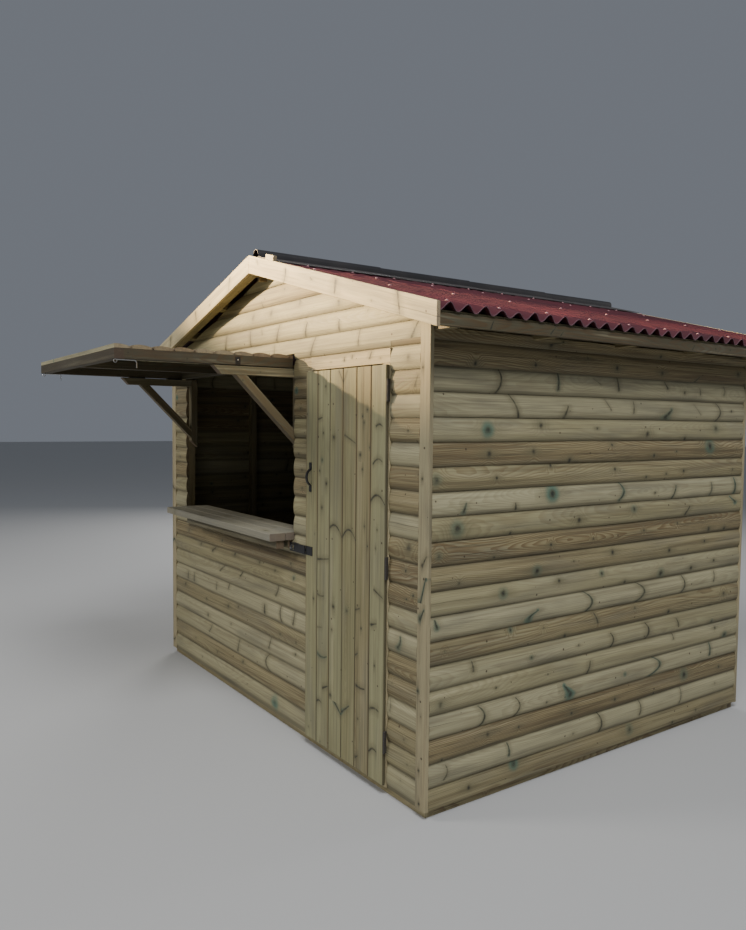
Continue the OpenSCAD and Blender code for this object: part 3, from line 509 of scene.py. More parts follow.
# The sawn tones are dark partly as sawn wood is and partly as painted shade.
SAWN_OLIVE_SHADED = (0.135, 0.118, 0.062, 1)
SAWN_BROWN_SHADED = (0.095, 0.070, 0.034, 1)
SAWN_TONES_SHADED = (SAWN_OLIVE_SHADED, SAWN_OLIVE_SHADED, SAWN_OLIVE_SHADED, SAWN_BROWN_SHADED)
sawn_pine = pine("sawn_pine", SAWN_TONES_SHADED)
# Copies darkened all over by painted shade, for the shutter battens, eaves boards and corner trims.
shaded_batten_pine = pine("shaded_batten_pine", SAWN_TONES_SHADED, painted_shade=0.55)
shaded_eaves_pine = pine("shaded_eaves_pine", SAWN_TONES_SHADED, painted_shade=0.33)
shaded_corner_pine = pine("shaded_corner_pine", TRIM_TONES, 0.6, painted_shade=0.25)
print("Pine finishes:", sum("pine" in material.name for material in bpy.data.materials))

# %% [markdown]
# Boards could be cubes with bevels, but the wall boards have a rounded face and the roof trim
# is cut plumb at an angle. So every board is swept: a profile is carried along the board, and
# each point is placed by a small function that knows which wall or slope the board lies on.
# The sweep also wanders by about a millimetre, because no nailed board is dead straight. A
# mark is written in millimetres as it would be measured on the wall: where it is, its radius,
# and for a stroke how far it reaches up and down, how it leans and how it bends.
# %% Marks and tones
MM = 0.001
NO_MARK = (9.0, 9.0, MM)
TONES = {"pale": 0.02, "green": 0.22, "olive": 0.42, "tan": 0.58, "brown": 0.80}


def knot(along, up, radius, stain=0.0, dark=1.0):
    return (along * MM, up * MM, radius * MM, 0.0, 0.0, 0.0, stain, 0.0, dark)


def stroke(along, up, reach, lean=0, bend=0, radius=4.0, stain=0.0, dark=0.9, foot=0.45):
    return (along * MM, up * MM, radius * MM, lean * MM, bend * MM, reach * MM,
            stain, foot, dark)


def chance_marks(draw, first, last, low, high, tone):
    """Marks for a board that the picture doesn't show: strokes on pale ones, else knots."""
    marks = []
    height = high - low
    along = first + draw.uniform(0.02, 0.35)
    whorled = tone < 0.3 and height > 0.06
    while along < last - 0.02:
        up = low + height * draw.uniform(0.2, 0.8)
        stain = 1.0 if draw.random() < 0.12 else 0.0
        if whorled:
            marks.append(stroke(
                along / MM, (low + height / 2) / MM, height / MM * draw.uniform(0.25, 0.52),
                draw.uniform(-14, 14), draw.choice((-1, 1)) * draw.uniform(2, 24),
                draw.uniform(2.6, 4.6), stain, draw.uniform(0.30, 0.80)))
        else:
            radius = draw.uniform(4.5, 11) * min(1.0, height / 0.08)
            marks.append(knot(along / MM, up / MM, radius, stain, draw.uniform(0.6, 1.0)))
        along += draw.uniform(0.30, 0.90) if whorled else draw.uniform(0.20, 0.60)
    return marks


print("Tones", ", ".join(TONES))

# %% [markdown]
# The pile gathers the boards of one piece in one mesh. Places and the board's own numbers are
# stored at the points. The marks are stored at the corners of the faces, because the same
# point lies in the part of one mark for one face and of another mark for the next.
# %% A pile of boards
class Pile:
    """Boards gathered in one mesh."""

    def __init__(self, name):
        self.name = name
        self.points = []
        self.faces = []
        self.grain = []
        self.board = []
        self.face_marks = {}
        self.cut_faces = set()

    def sweep(self, profile, span, place, seed, step=0.15, wander=0.0012, tone=None,
              marks=None):
        """profile is a closed loop of (across, out); span gives both ends for an across."""
        draw = random.Random(f"{self.name} {seed}")
        own = [draw.random(), draw.random(), draw.random() ** 1.2]
        if tone is not None:
            own[2] = TONES[tone] + draw.uniform(-0.04, 0.04)
        start = draw.uniform(0, 40)
        phases = [draw.uniform(0, 2 * math.pi) for _ in range(2)]
        ends = [span(across) for across, _ in profile]
        first = min(end[0] for end in ends)
        last = max(end[1] for end in ends)
        heights = [across for across, _ in profile]
        if marks is None:
            marks = chance_marks(draw, first, last, min(heights), max(heights), own[2])
        marks = sorted(mark for mark in marks if first - 0.1 < mark[0] < last + 0.1)
        borders = [(a[0] + b[0]) / 2 for a, b in zip(marks, marks[1:])]
        count = max(1, math.ceil((last - first) / step))
        shares = [i / count for i in range(count + 1)]
        shares += [(border - first) / (last - first) for border in borders]
        shares = sorted({round(share, 5) for share in shares if 0 <= share <= 1})
        base = len(self.points)
        size = len(profile)
        for share in shares:
            for (across, out), (near_end, far_end) in zip(profile, ends):
                along = near_end + (far_end - near_end) * share
                sway = wander * math.sin(along * 3.1 + phases[0])
                bulge = 0.5 * wander * math.sin(along * 4.7 + phases[1])
                self.points.append(place(along, across + sway, out + bulge))
                self.grain.append((along + start, across, out))
                self.board.append(own)
        for i in range(len(shares) - 1):
            middle = first + (last - first) * (shares[i] + shares[i + 1]) / 2
            number = sum(border < middle for border in borders)
            for j in range(size):
                k = (j + 1) % size
                a = base + i * size
                if marks:
                    self.face_marks[len(self.faces)] = (start, marks[number])
                self.faces.append((a + j, a + k, a + size + k, a + size + j))
        for row, number in ((0, 0), (len(shares) - 1, -1)):
            if marks:
                self.face_marks[len(self.faces)] = (start, marks[number])
            self.cut_faces.add(len(self.faces))
            self.faces.append(tuple(base + row * size + j for j in range(size)))

    def dot(self, point):
        """A point of a fitting, which has no grain."""
        self.points.append(point)
        self.grain.append((0, 0, 0))
        self.board.append((0, 0, 0))

    def tube(self, base, rings, sides):
        """Faces that join each ring of points to the next, from the point numbered base."""
        for ring in range(rings - 1):
            a = base + ring * sides
            for i in range(sides):
                j = (i + 1) % sides
                self.faces.append((a + i, a + j, a + sides + j, a + sides + i))

    def store_marks(self, mesh):
        """Writes each face's mark at its corners, and whether it is a sawn end."""
        layers = {name: [] for name in ("mark", "form", "tint", "cut")}
        for face in mesh.polygons:
            start, mark = self.face_marks.get(face.index, (0, None))
            for point in face.vertices:
                layers["cut"] += (1.0 if face.index in self.cut_faces else 0.0, 0.0, 0.0)
                if mark is None:
                    layers["mark"] += NO_MARK
                    layers["form"] += (0.0, 0.0, 0.0)
                    layers["tint"] += (0.0, 0.0, 0.0)
                    continue
                along, across, _ = self.grain[point]
                layers["mark"] += (along - start - mark[0], across - mark[1], mark[2])
                layers["form"] += mark[3:6]
                layers["tint"] += mark[6:9]
        for name, values in layers.items():
            layer = mesh.attributes.new(name, "FLOAT_VECTOR", "CORNER")
            layer.data.foreach_set("vector", values)

    def finish(self, material, body, slot, *replaced):
        """Makes the piece, gives it its finish and body, and stands it in for CAD nodes."""
        mesh = bpy.data.meshes.new(self.name)
        mesh.from_pydata(self.points, [], self.faces)
        for name, values in (("grain", self.grain), ("board", self.board)):
            layer = mesh.attributes.new(name, "FLOAT_VECTOR", "POINT")
            layer.data.foreach_set("vector", [c for value in values for c in value])
        edit = bmesh.new()
        edit.from_mesh(mesh)
        bmesh.ops.recalc_face_normals(edit, faces=edit.faces)
        edit.to_mesh(mesh)
        edit.free()
        self.store_marks(mesh)
        mesh.shade_smooth()
        mesh.set_sharp_from_angle(angle=math.radians(32))
        mesh.materials.append(material)
        piece = bpy.data.objects.new(self.name, mesh)
        bpy.context.scene.collection.objects.link(piece)
        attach(piece, body)
        if replaced:
            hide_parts(*replaced)
        print(self.name, len(mesh.polygons), "faces")


print("A pile keeps its", ", ".join(vars(Pile("sample"))))

# %% [markdown]
# The wall boards are cut to look like logs: each one is thickest at 0.4 of its height, falls
# back in a curve to its top edge, and turns back below towards its lip, which covers the top of
# the board beneath. The upper part of each board so catches the light, and the lower part is
# in its own shade. A tongue carries on behind the board above, so that no gap can open when
# two neighbours wander apart.
# %% The wall board's profile
CLAD_T = 0.020
BOARD_FALL = 0.011
LIP_FALL = 0.007
BELLY_AT = 0.4
LIP_R = 0.0015
TONGUE = 0.006
FACE_STEPS = 12


def board_depth(share):
    """Thickness of a board at a share of its visible height."""
    if share < BELLY_AT:
        return CLAD_T - LIP_FALL * ((BELLY_AT - max(0.0, share)) / BELLY_AT) ** 2
    return CLAD_T - BOARD_FALL * ((share - BELLY_AT) / (1 - BELLY_AT)) ** 2


def lap_profile(low, high, cover, kinks=()):
    """The section of one board, cut to the heights from low to high within it."""
    heights = [low + (high - low) * i / FACE_STEPS for i in range(FACE_STEPS + 1)]
    heights = sorted(set(heights + [kink for kink in kinks if low < kink < high]))
    face = [(height, board_depth(height / cover)) for height in heights]
    if low <= 0.0:
        lip = face[0][1]
        face[0:1] = [(low, lip - LIP_R), (low + LIP_R * 0.3, lip - LIP_R * 0.3),
                     (low + LIP_R, lip)]
    if high == cover:
        top = face[-1][1]
        face += [(high + TONGUE, top - 0.005), (high + TONGUE, 0)]
    else:
        face.append((high, 0))
    return [(low, 0)] + face


print("A board is", round(board_depth(0) * 1000, 1), "mm thick at its lip,",
      round(board_depth(BELLY_AT) * 1000, 1), "at its belly and",
      round(board_depth(1) * 1000, 1), "at its top")

# %% [markdown]
# A wall is a stack of courses. Each course is cut to the parts of the wall that it meets,
# so a board that passes under the hatch is one board with a notch, as it is on the real hut,
# and both sides of an opening show the same board. The first lap and the cover give the
# height of every course: they were measured on the picture, and differ between the walls.
# Where the picture shows a board, its tone and marks are written in a table, under the number
# of its course.
# %% Courses of wall boards
pier_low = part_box("front_cladding_pier")[0]
CLAD_BOTTOM = pier_low.z
FRONT_LAPS = (0.150, 0.104)
SIDE_LAPS = (0.130, 0.1058)
SHUTTER_LAPS = (1.176, 0.105)
LEAST_COURSE = 0.002


def board_look(looks, number, base):
    """The tone and marks of a board, with its marks counted from the board's own base."""
    if number not in looks:
        return {}
    tone, marks = looks[number]
    return {"tone": tone, "marks": [(m[0], m[1] - base) + m[2:] for m in marks]}


def courses(pile, place, parts, laps, wall, looks=None):
    """Boards on the parts of a wall, each given as (start, end, bottom, top)."""
    first_lap, cover = laps
    top = max(part[3] for part in parts)
    for number in range(math.ceil((top - first_lap) / cover - 1e-6) + 1):
        base = first_lap + (number - 1) * cover
        for start, end, bottom, ceiling in parts:
            low = bottom - base if number == 0 else max(0.0, bottom - base)
            high = min(cover, ceiling - base)
            if high - low > LEAST_COURSE:
                pile.sweep(
                    lap_profile(low, high, cover), lambda across: (start, end),
                    lambda u, v, w: place(u, base + v, w), f"{wall} {number}",
                    **board_look(looks or {}, number, base))


print("Boards cover", FRONT_LAPS[1], "m on the front and", SIDE_LAPS[1], "m on the sides")

# %% [markdown]
# The right wall is the one that the picture shows best. Pale boards with curved strokes
# alternate with tan and brown ones full of knots, and the salts have stained about one knot in
# six. The table lists the boards from the bottom up, places along the wall in millimetres from
# its middle.
# %% Right wall boards
RIGHT_LOOKS = {
    0: ("tan", [knot(-950, 80, 9), knot(-668, 115, 13, 0.8), knot(180, 90, 14, 0.5, 0.7),
                knot(560, 45, 7), knot(780, 70, 6, 0, 0.6)]),
    1: ("pale", [stroke(-1075, 185, 30, 4, 14, 3, 0, 0.6), stroke(-705, 195, 28, -4, 5, 3, 0.4),
                 knot(-265, 170, 5, 0, 0.5), stroke(-50, 183, 50, -8, 22, 5),
                 stroke(272, 195, 40, -4, 14, 4, 0, 0.7), stroke(632, 187, 42, 4, 9, 3, 0, 0.6),
                 knot(965, 190, 5, 0, 0.4)]),
    2: ("brown", [knot(-1105, 242, 6), knot(-840, 297, 9, 0, 0.7), knot(-645, 288, 5),
                  knot(-280, 275, 8), knot(50, 277, 7), knot(382, 242, 7),
                  knot(655, 297, 16, 0.45), knot(1000, 283, 7)]),
    3: ("pale", [stroke(-862, 388, 46, -4, 30, 4.5, 0.2), stroke(-640, 385, 42, 4, 28, 4, 0, 0.8),
                 knot(-458, 365, 6, 0, 0.6), stroke(-310, 398, 22, -20, 4, 11, 1.0),
                 knot(128, 395, 6, 0.5, 0.7), stroke(428, 397, 50, 4, 80, 6, 0.7),
                 stroke(905, 405, 34, 0, 4, 4, 0.6)]),
    4: ("green", [knot(-1120, 490, 12, 0.1, 0.6), knot(-795, 500, 4), knot(-455, 500, 3),
                  stroke(-155, 480, 30, 9, 3, 4.5), stroke(545, 535, 16, -6, 4, 4, 0, 0.5),
                  knot(950, 520, 6), knot(1052, 465, 11, 0.5)]),
    5: ("green", [stroke(-935, 625, 20, -3, 2, 4), knot(-570, 600, 6, 0.3), knot(-240, 605, 4),
                  stroke(27, 592, 34, -2, 18, 4.5), stroke(322, 598, 42, -4, 26, 6),
                  stroke(580, 610, 20, -10, 4, 4, 0, 0.7), knot(915, 563, 8, 0.2)]),
    6: ("tan", [knot(-1100, 715, 5, 0, 0.5), knot(-705, 748, 7, 0.4), knot(-490, 728, 6, 0, 0.4),
                knot(-340, 668, 10), stroke(-112, 728, 26, -14, 2, 4), knot(200, 735, 6, 0, 0.6),
                knot(495, 674, 10), knot(1025, 712, 9)]),
    7: ("pale", [stroke(-1150, 840, 16, -4, 0, 5, 0.5), stroke(-575, 800, 16, 30, -12, 8, 0.7),
                 stroke(-148, 818, 48, -12, 48, 5, 0.35), stroke(272, 818, 50, -4, 66, 7, 0.15),
                 stroke(636, 815, 46, 0, 26, 4.5, 0.1), stroke(925, 828, 28, 2, 5, 4, 0, 0.6)]),
    8: ("green", [knot(-760, 928, 13, 0.5), knot(-388, 943, 8), knot(-75, 946, 8, 0.4),
                  knot(108, 882, 8), knot(412, 894, 14, 0.3), knot(690, 896, 9),
                  knot(912, 918, 6), knot(1085, 866, 8)]),
    9: ("tan", [knot(-1025, 1000, 8, 0, 0.5), knot(-545, 1006, 14, 0.35), knot(-290, 1028, 3),
                knot(5, 1046, 11), knot(480, 1014, 10), knot(812, 1036, 7)]),
    10: ("brown", [knot(-1140, 1128, 10, 0.2, 0.5), knot(-818, 1094, 7), knot(-455, 1122, 7),
                   knot(-150, 1128, 6, 0, 0.5), knot(255, 1140, 5), knot(552, 1158, 6),
                   knot(852, 1102, 11), knot(1010, 1096, 10)]),
    11: ("olive", [knot(-1040, 1236, 17, 0.55), knot(-720, 1194, 7), knot(-258, 1228, 11),
                   knot(168, 1256, 10, 0.3), stroke(640, 1222, 18, 18, 0, 6),
                   stroke(1090, 1262, 14, -24, 0, 6, 0.9)]),
    12: ("pale", [stroke(-998, 1328, 18, 6, 0, 5, 0.5, 0.8), stroke(-692, 1318, 12, -2, 0, 4),
                  knot(-450, 1362, 19, 1.0), stroke(80, 1355, 46, -6, 38, 5, 0.6),
                  knot(340, 1332, 5), stroke(515, 1330, 34, 16, 4, 4.5, 0.3, 0.8),
                  stroke(868, 1335, 34, 4, 8, 4, 0.2, 0.7), stroke(1110, 1340, 44, 0, 8, 5, 0.8)]),
    13: ("tan", [knot(-1160, 1452, 14, 0.3, 0.7), knot(-815, 1448, 7), knot(-462, 1496, 8),
                 knot(5, 1468, 7), knot(262, 1420, 6), knot(432, 1432, 5), knot(590, 1442, 7),
                 knot(1075, 1436, 6, 0, 0.6)]),
    14: ("brown", [knot(-862, 1556, 13), knot(-582, 1562, 11), knot(-335, 1515, 12),
                   knot(-20, 1588, 6), knot(325, 1530, 8), knot(520, 1550, 4),
                   knot(838, 1576, 20, 0.9), knot(1110, 1560, 5, 0, 0.4)]),
    15: ("green", [knot(-872, 1662, 16, 0.9, 0.8), knot(-538, 1686, 11), knot(-140, 1670, 5),
                   knot(262, 1642, 12), knot(598, 1616, 10), knot(890, 1676, 15, 0.15, 0.7)]),
    16: ("pale", [stroke(-702, 1768, 52, -30, 10, 4.5), stroke(-368, 1745, 28, 12, 0, 6),
                  stroke(-62, 1790, 28, -24, 0, 3, 0, 0.5), stroke(145, 1780, 28, 0, 2, 4, 0, 0.6),
                  stroke(440, 1752, 18, 24, 0, 13, 0.4), stroke(705, 1778, 26, -30, 0, 3, 0, 0.4),
                  stroke(928, 1765, 50, 4, 40, 5), knot(1042, 1775, 5)]),
    17: ("pale", [stroke(-798, 1876, 50, 10, 18, 5), stroke(-425, 1888, 36, 2, 2, 5, 0.35),
                  stroke(-145, 1898, 12, -24, 0, 3, 0, 0.5), stroke(14, 1895, 32, -3, 0, 4.5),
                  stroke(415, 1900, 14, -10, 0, 5, 0, 0.7), knot(578, 1868, 8, 0, 0.7),
                  stroke(725, 1878, 16, -2, 2, 4, 0, 0.5), stroke(968, 1888, 22, 2, 8, 4, 0, 0.5)]),
    18: ("brown", [knot(-950, 1946, 10), knot(-582, 1958, 8), knot(-220, 2008, 5),
                   knot(0, 1972, 11), knot(372, 1964, 10), stroke(692, 1942, 14, 20, 0, 5),
                   knot(1100, 1986, 12)]),
    19: ("brown", [stroke(-440, 2066, 6, 40, 0, 12), knot(360, 2050, 8)]),
}
side_low, side_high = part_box("right_wall_cladding")
right_wall = Pile("right_wall_boards")
courses(right_wall, lambda u, z, w: (side_low.x + w, u, z),
        [(side_low.y, side_high.y, side_low.z, side_high.z)], SIDE_LAPS, "right", RIGHT_LOOKS)
right_wall.finish(wall_pine, "kiosk", "wall_boards", "right_wall_cladding")

left_wall = Pile("left_wall_boards")
left_low, left_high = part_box("left_wall_cladding")
courses(left_wall, lambda u, z, w: (left_high.x - w, u, z),
        [(left_low.y, left_high.y, left_low.z, left_high.z)], SIDE_LAPS, "left")
left_wall.finish(wall_pine, "kiosk", "wall_boards", "left_wall_cladding")

# %% [markdown]
# On the front, the boards run past the hatch, the pier and the door. Their edges come from the
# boxes of the nodes that they stand in for. The short boards right of the door were cut from
# other lengths than those left of it, so they are made as a stack of their own.
# %% Front wall boards
ends_low, ends_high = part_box("front_cladding_ends")
strip_low, strip_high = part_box("door_linings")
head_low, head_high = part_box("door_head_trim")
counter_low, counter_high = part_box("counter")
FRONT_FACE = ends_low.y
FRONT_BACK = FRONT_FACE + CLAD_T
TRIM_X = ends_high.x
HATCH_TOP = ends_high.z
SILL = counter_low.z
FLAP_CLEAR = 0.005
HATCH_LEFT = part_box("flap_cladding")[0].x - FLAP_CLEAR
HATCH_RIGHT = pier_low.x
FRONT_LOOKS = {
    0: ("green", [knot(-930, 95, 6, 0, 0.4), knot(118, 98, 18, 1.0, 0.3)]),
    1: ("tan", [knot(-1040, 200, 7, 0, 0.4), knot(-680, 190, 8, 0, 0.5), knot(-300, 222, 8)]),
    2: ("green", [stroke(-785, 322, 24, 16, 8, 3.5, 0, 0.7), stroke(-358, 312, 36, 8, 4, 4, 0, 0.8),
                  stroke(8, 306, 48, -6, -36, 4.5)]),
    3: ("pale", [knot(-830, 402, 9, 0, 0.7), knot(-470, 420, 6, 0, 0.5),
                 stroke(58, 425, 30, 6, 4, 4, 0, 0.7), knot(350, 432, 6)]),
    4: ("tan", [knot(-1235, 540, 9, 0, 0.7), knot(-852, 506, 7, 0, 0.8), knot(-510, 524, 9),
                knot(-372, 548, 7, 0, 0.6), knot(180, 505, 5), knot(360, 500, 7, 0, 0.5)]),
    5: ("pale", [stroke(-1178, 615, 20, 0, 3, 6, 0, 0.6), stroke(-1068, 618, 26, 0, 2, 5, 0, 0.6),
                 stroke(-690, 622, 22, 0, 2, 4, 0, 0.6), stroke(-508, 655, 16, 0, 0, 5, 0, 0.6),
                 stroke(-10, 612, 22, 0, 2, 6), stroke(178, 622, 40, -8, -8, 4),
                 stroke(336, 628, 34, 4, 6, 4)]),
    6: ("green", [stroke(-605, 752, 20, 28, 0, 3.5), stroke(-322, 762, 16, 10, 6, 4),
                  stroke(146, 742, 28, 8, 10, 4)]),
    7: ("olive", [knot(-955, 862, 9, 0, 0.7), stroke(-735, 858, 12, 20, 0, 7),
                  knot(-425, 865, 9), knot(-88, 868, 7), knot(112, 852, 7, 0, 0.6),
                  knot(330, 845, 9, 0.4, 0.6)]),
    8: ("brown", [knot(-1160, 930, 9, 0, 0.6), knot(-600, 930, 8), knot(300, 920, 7)]),
    12: ("brown", [knot(420, 1340, 6)]),
    14: ("tan", [knot(380, 1520, 6, 0, 0.6)]),
    16: ("brown", [knot(400, 1760, 6)]),
    18: ("tan", []),
    19: ("pale", [stroke(-640, 2080, 30, 4, 4, 4), stroke(100, 2085, 24, -4, 4, 3.5, 0, 0.6),
                  stroke(520, 2076, 42, 22, 4, 5), stroke(942, 2085, 36, 2, 2, 3.5, 0, 0.7),
                  stroke(1368, 2092, 44, 22, 4, 5.5, 0.15)]),
    20: ("pale", [stroke(-540, 2175, 40, 6, 8, 4), stroke(-200, 2170, 44, -4, 6, 4.5),
                  stroke(-55, 2200, 14, -8, 0, 4, 0, 0.5), stroke(145, 2178, 40, 14, 6, 5),
                  stroke(455, 2180, 42, 14, -4, 5), stroke(662, 2212, 14, 2, 0, 5, 0, 0.4),
                  stroke(772, 2185, 46, 6, -2, 4.5), knot(1010, 2205, 4, 0, 0.5)]),
    21: ("green", [knot(-162, 2292, 15, 0, 0.75), knot(62, 2292, 15, 0, 0.7),
                   knot(382, 2316, 14, 0, 0.7), knot(765, 2268, 12, 0, 0.9)]),
    22: ("tan", [stroke(-48, 2352, 18, -8, 0, 5, 0, 0.5), knot(215, 2408, 8, 0, 0.6)]),
}
PANEL_LOOKS = {
    0: ("green", [knot(1300, 110, 4, 0, 0.3)]),
    1: ("olive", [knot(1350, 200, 4, 0, 0.4)]),
    2: ("tan", [knot(1325, 305, 5, 0, 0.5)]),
    3: ("pale", [stroke(1222, 425, 26, -4, 8, 4, 0, 0.4)]),
    4: ("tan", [knot(1230, 530, 4, 0, 0.3)]),
    5: ("tan", []),
    6: ("pale", [stroke(1290, 725, 24, 6, 10, 6, 0.4, 0.7)]),
    7: ("green", []),
    8: ("brown", [knot(1375, 948, 7), knot(1330, 925, 4)]),
    9: ("brown", [knot(1322, 1048, 6)]),
    10: ("tan", [knot(1340, 1152, 16, 0, 0.8)]),
    11: ("pale", []),
    12: ("tan", []),
    13: ("tan", [knot(1400, 1470, 4, 0, 0.4)]),
    14: ("pale", []),
    15: ("tan", [knot(1330, 1655, 5, 0, 0.6)]),
    16: ("pale", []),
    17: ("tan", [stroke(1380, 1868, 20, 8, 0, 5, 0, 0.6)]),
    18: ("pale", [knot(1325, 1968, 14, 0, 0.5)]),
}

front_wall = Pile("front_wall_boards")


def front_place(u, z, w):
    return u, FRONT_BACK - w, z


courses(front_wall, front_place, [
    (-TRIM_X, HATCH_LEFT, CLAD_BOTTOM, HATCH_TOP),
    (HATCH_LEFT, HATCH_RIGHT, CLAD_BOTTOM, SILL),
    (HATCH_RIGHT, strip_low.x, CLAD_BOTTOM, HATCH_TOP),
    (strip_low.x, head_low.x, strip_high.z, HATCH_TOP),
    (head_low.x, strip_high.x, head_high.z, HATCH_TOP),
], FRONT_LAPS, "front", FRONT_LOOKS)
courses(front_wall, front_place, [(strip_high.x, TRIM_X, CLAD_BOTTOM, HATCH_TOP)],
        FRONT_LAPS, "right panel", PANEL_LOOKS)
front_wall.finish(wall_pine, "kiosk", "wall_boards",
                  "front_cladding_ends", "front_cladding_pier", "front_cladding_spans")

# %% [markdown]
# The gable boards are sawn to the slope of the roof. Their ends depend on the height, so the
# span is a function: the trim's inner edge low down, and the underside of the purlins higher up.
# %% Gable boards
ROOF_PITCH = math.radians(15.3)
SLOPE = math.tan(ROOF_PITCH)
APEX_CLEAR = 0.0113
TIP_CLEAR = 0.006
LEAST_GABLE_H = 0.004
LEAST_REACH = 0.004
GABLE_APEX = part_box("front_gable_cladding")[1].z + SLOPE * APEX_CLEAR
GABLE_KINK = GABLE_APEX - SLOPE * TRIM_X


def gable_courses(pile, place, bottom, wall, looks=None):
    first_lap, cover = FRONT_LAPS
    for number in range(math.ceil((GABLE_APEX - first_lap) / cover) + 1):
        base = first_lap + (number - 1) * cover
        low = bottom - base if number == 0 else max(0.0, bottom - base)
        high = min(cover, GABLE_APEX - TIP_CLEAR - base)
        if high - low < LEAST_GABLE_H:
            continue

        def span(across):
            reach = min(TRIM_X, max(LEAST_REACH, (GABLE_APEX - base - across) / SLOPE))
            return -reach, reach

        pile.sweep(
            lap_profile(low, high, cover, (GABLE_KINK - base,)), span,
            lambda u, v, w: place(u, base + v, w), f"{wall} {number}",
            **board_look(looks or {}, number, base))


front_gable = Pile("front_gable_boards")
gable_courses(front_gable, front_place, HATCH_TOP, "front", FRONT_LOOKS)
front_gable.finish(wall_pine, "kiosk", "wall_boards", "front_gable_cladding")
back_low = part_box("back_wall_cladding")[0]
back_wall = Pile("back_wall_boards")
gable_courses(back_wall, lambda u, z, w: (u, back_low.y + w, z), CLAD_BOTTOM, "back")
back_wall.finish(wall_pine, "kiosk", "wall_boards", "back_wall_cladding")

# %% [markdown]
# Trim and framing timbers are square sawn with slightly rounded arrises. A helper turns a box
# into such a timber, with the grain along its longest side unless told otherwise.
# %% Square timbers
ARRIS = 0.002


def square_profile(width, thick, arris=ARRIS):
    return [
        (arris, 0), (width - arris, 0), (width, arris), (width, thick - arris),
        (width - arris, thick), (arris, thick), (0, thick - arris), (0, arris),
    ]


def timber(pile, low, high, axis=None, seed=None, arris=ARRIS, tone=None, marks=None):
    sizes = [high[i] - low[i] for i in range(3)]
    along = sizes.index(max(sizes)) if axis is None else axis
    across, out = sorted((i for i in range(3) if i != along), key=lambda i: -sizes[i])
    if marks is not None:
        marks = [(m[0] - low[along], m[1] - low[across]) + m[2:] for m in marks]

    def place(u, v, w):
        point = [0, 0, 0]
        point[along] = low[along] + u
        point[across] = low[across] + v
        point[out] = low[out] + w
        return point

    pile.sweep(square_profile(sizes[across], sizes[out], arris),
               lambda v: (0, sizes[along]), place, seed or len(pile.points),
               step=0.25, wander=0.0004, tone=tone, marks=marks)


CORNER_MARKS = [
    stroke(1110, 1452, 12, 20, 0, 6), stroke(975, 1443, 18, 60, 0, 9, 1.0),
    stroke(880, 1440, 10, 20, 0, 7, 0.8), knot(1455, 1430, 5), knot(548, 1418, 6, 0.3),
    knot(442, 1440, 4, 0, 0.5), knot(205, 1430, 5), knot(60, 1435, 5), knot(1920, 1425, 6),
]
corners = Pile("corner_trim_boards")
trim_low, trim_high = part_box("corner_trims")
for side in (-1, 1):
    for y0 in (trim_low.y, trim_high.y - CLAD_T):
        xs = sorted((side * TRIM_X, side * trim_high.x))
        seen = side == 1 and y0 == trim_low.y
        timber(corners, (xs[0], y0, trim_low.z), (xs[1], y0 + CLAD_T, trim_high.z),
               tone="green" if seen else None, marks=CORNER_MARKS if seen else None)
corners.finish(shaded_corner_pine, "kiosk", "trim_timber", "corner_trims")

door_frame = Pile("door_frame_strips")
STRIP_RIGHT_W = 0.055
STRIP_LEFT_W = 0.045
HEAD_MARKS = [
    knot(700, 1985, 3, 0, 0.6), stroke(822, 1992, 8, 2, 0, 3), stroke(890, 2000, 6, 2, 0, 3),
    stroke(1042, 1998, 12, 6, 0, 4), knot(1120, 1978, 3, 0, 0.6),
]
timber(door_frame, strip_low, (strip_low.x + STRIP_LEFT_W, strip_high.y, strip_high.z),
       tone="green", marks=[knot(1730, 500, 4, 0, 0.6), knot(790, 498, 5), knot(485, 505, 6)])
timber(door_frame, (strip_high.x - STRIP_RIGHT_W, strip_low.y, strip_low.z), strip_high,
       tone="pale", marks=[])
timber(door_frame, head_low, head_high, tone="pale", marks=HEAD_MARKS)
door_frame.finish(trim_pine, "kiosk", "trim_timber", "door_linings", "door_head_trim")

eaves = Pile("eaves_boards")
eaves_low, eaves_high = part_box("eaves_fascias")
EAVES_T = 0.018
EAVES_MARKS = [
    stroke(-985, 2095, 16, 8, 0, 4), stroke(-620, 2098, 14, 14, 0, 4),
    stroke(-560, 2092, 12, 10, 0, 3), stroke(440, 2095, 12, 10, 0, 4), knot(640, 2098, 6),
    knot(780, 2100, 6), knot(1010, 2098, 6), knot(1240, 2096, 6), knot(1430, 2096, 5),
]
timber(eaves, eaves_low, (eaves_low.x + EAVES_T, eaves_high.y, eaves_high.z))
timber(eaves, (eaves_high.x - EAVES_T, eaves_low.y, eaves_low.z), eaves_high,
       tone="brown", marks=EAVES_MARKS)
eaves.finish(shaded_eaves_pine, "kiosk", "trim_timber", "eaves_fascias")

# %% [markdown]
# The barge boards lie along the slope and are cut plumb at both ends. In a frame where the
# second axis leans with the roof, a plumb cut is a plain end, so the sweep needs no mitre.
# %% Barge boards
barge_low, barge_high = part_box("barge_boards")
BARGE_T = 0.018
BARGE_W = 0.095
PEAK_GAP = 0.0005
PEAK = barge_high.z + SLOPE * PEAK_GAP
BARGE_RIGHT_MARKS = [
    stroke(112, 28, 8, 4, 0, 4, 0, 0.7), stroke(425, 60, 32, -10, 6, 4.5), knot(690, 42, 3),
    stroke(905, 48, 26, -6, 0, 8), knot(1200, 66, 4, 0, 0.5), stroke(1395, 45, 42, 8, 0, 5),
]
BARGE_LEFT_MARKS = [
    stroke(255, 50, 26, 8, 0, 6, 0, 0.6), knot(540, 60, 5, 0, 0.6),
    stroke(760, 48, 30, -8, 0, 6, 0, 0.6), stroke(1210, 50, 26, 6, 0, 6, 0, 0.6),
]
barges = Pile("barge_board_pairs")
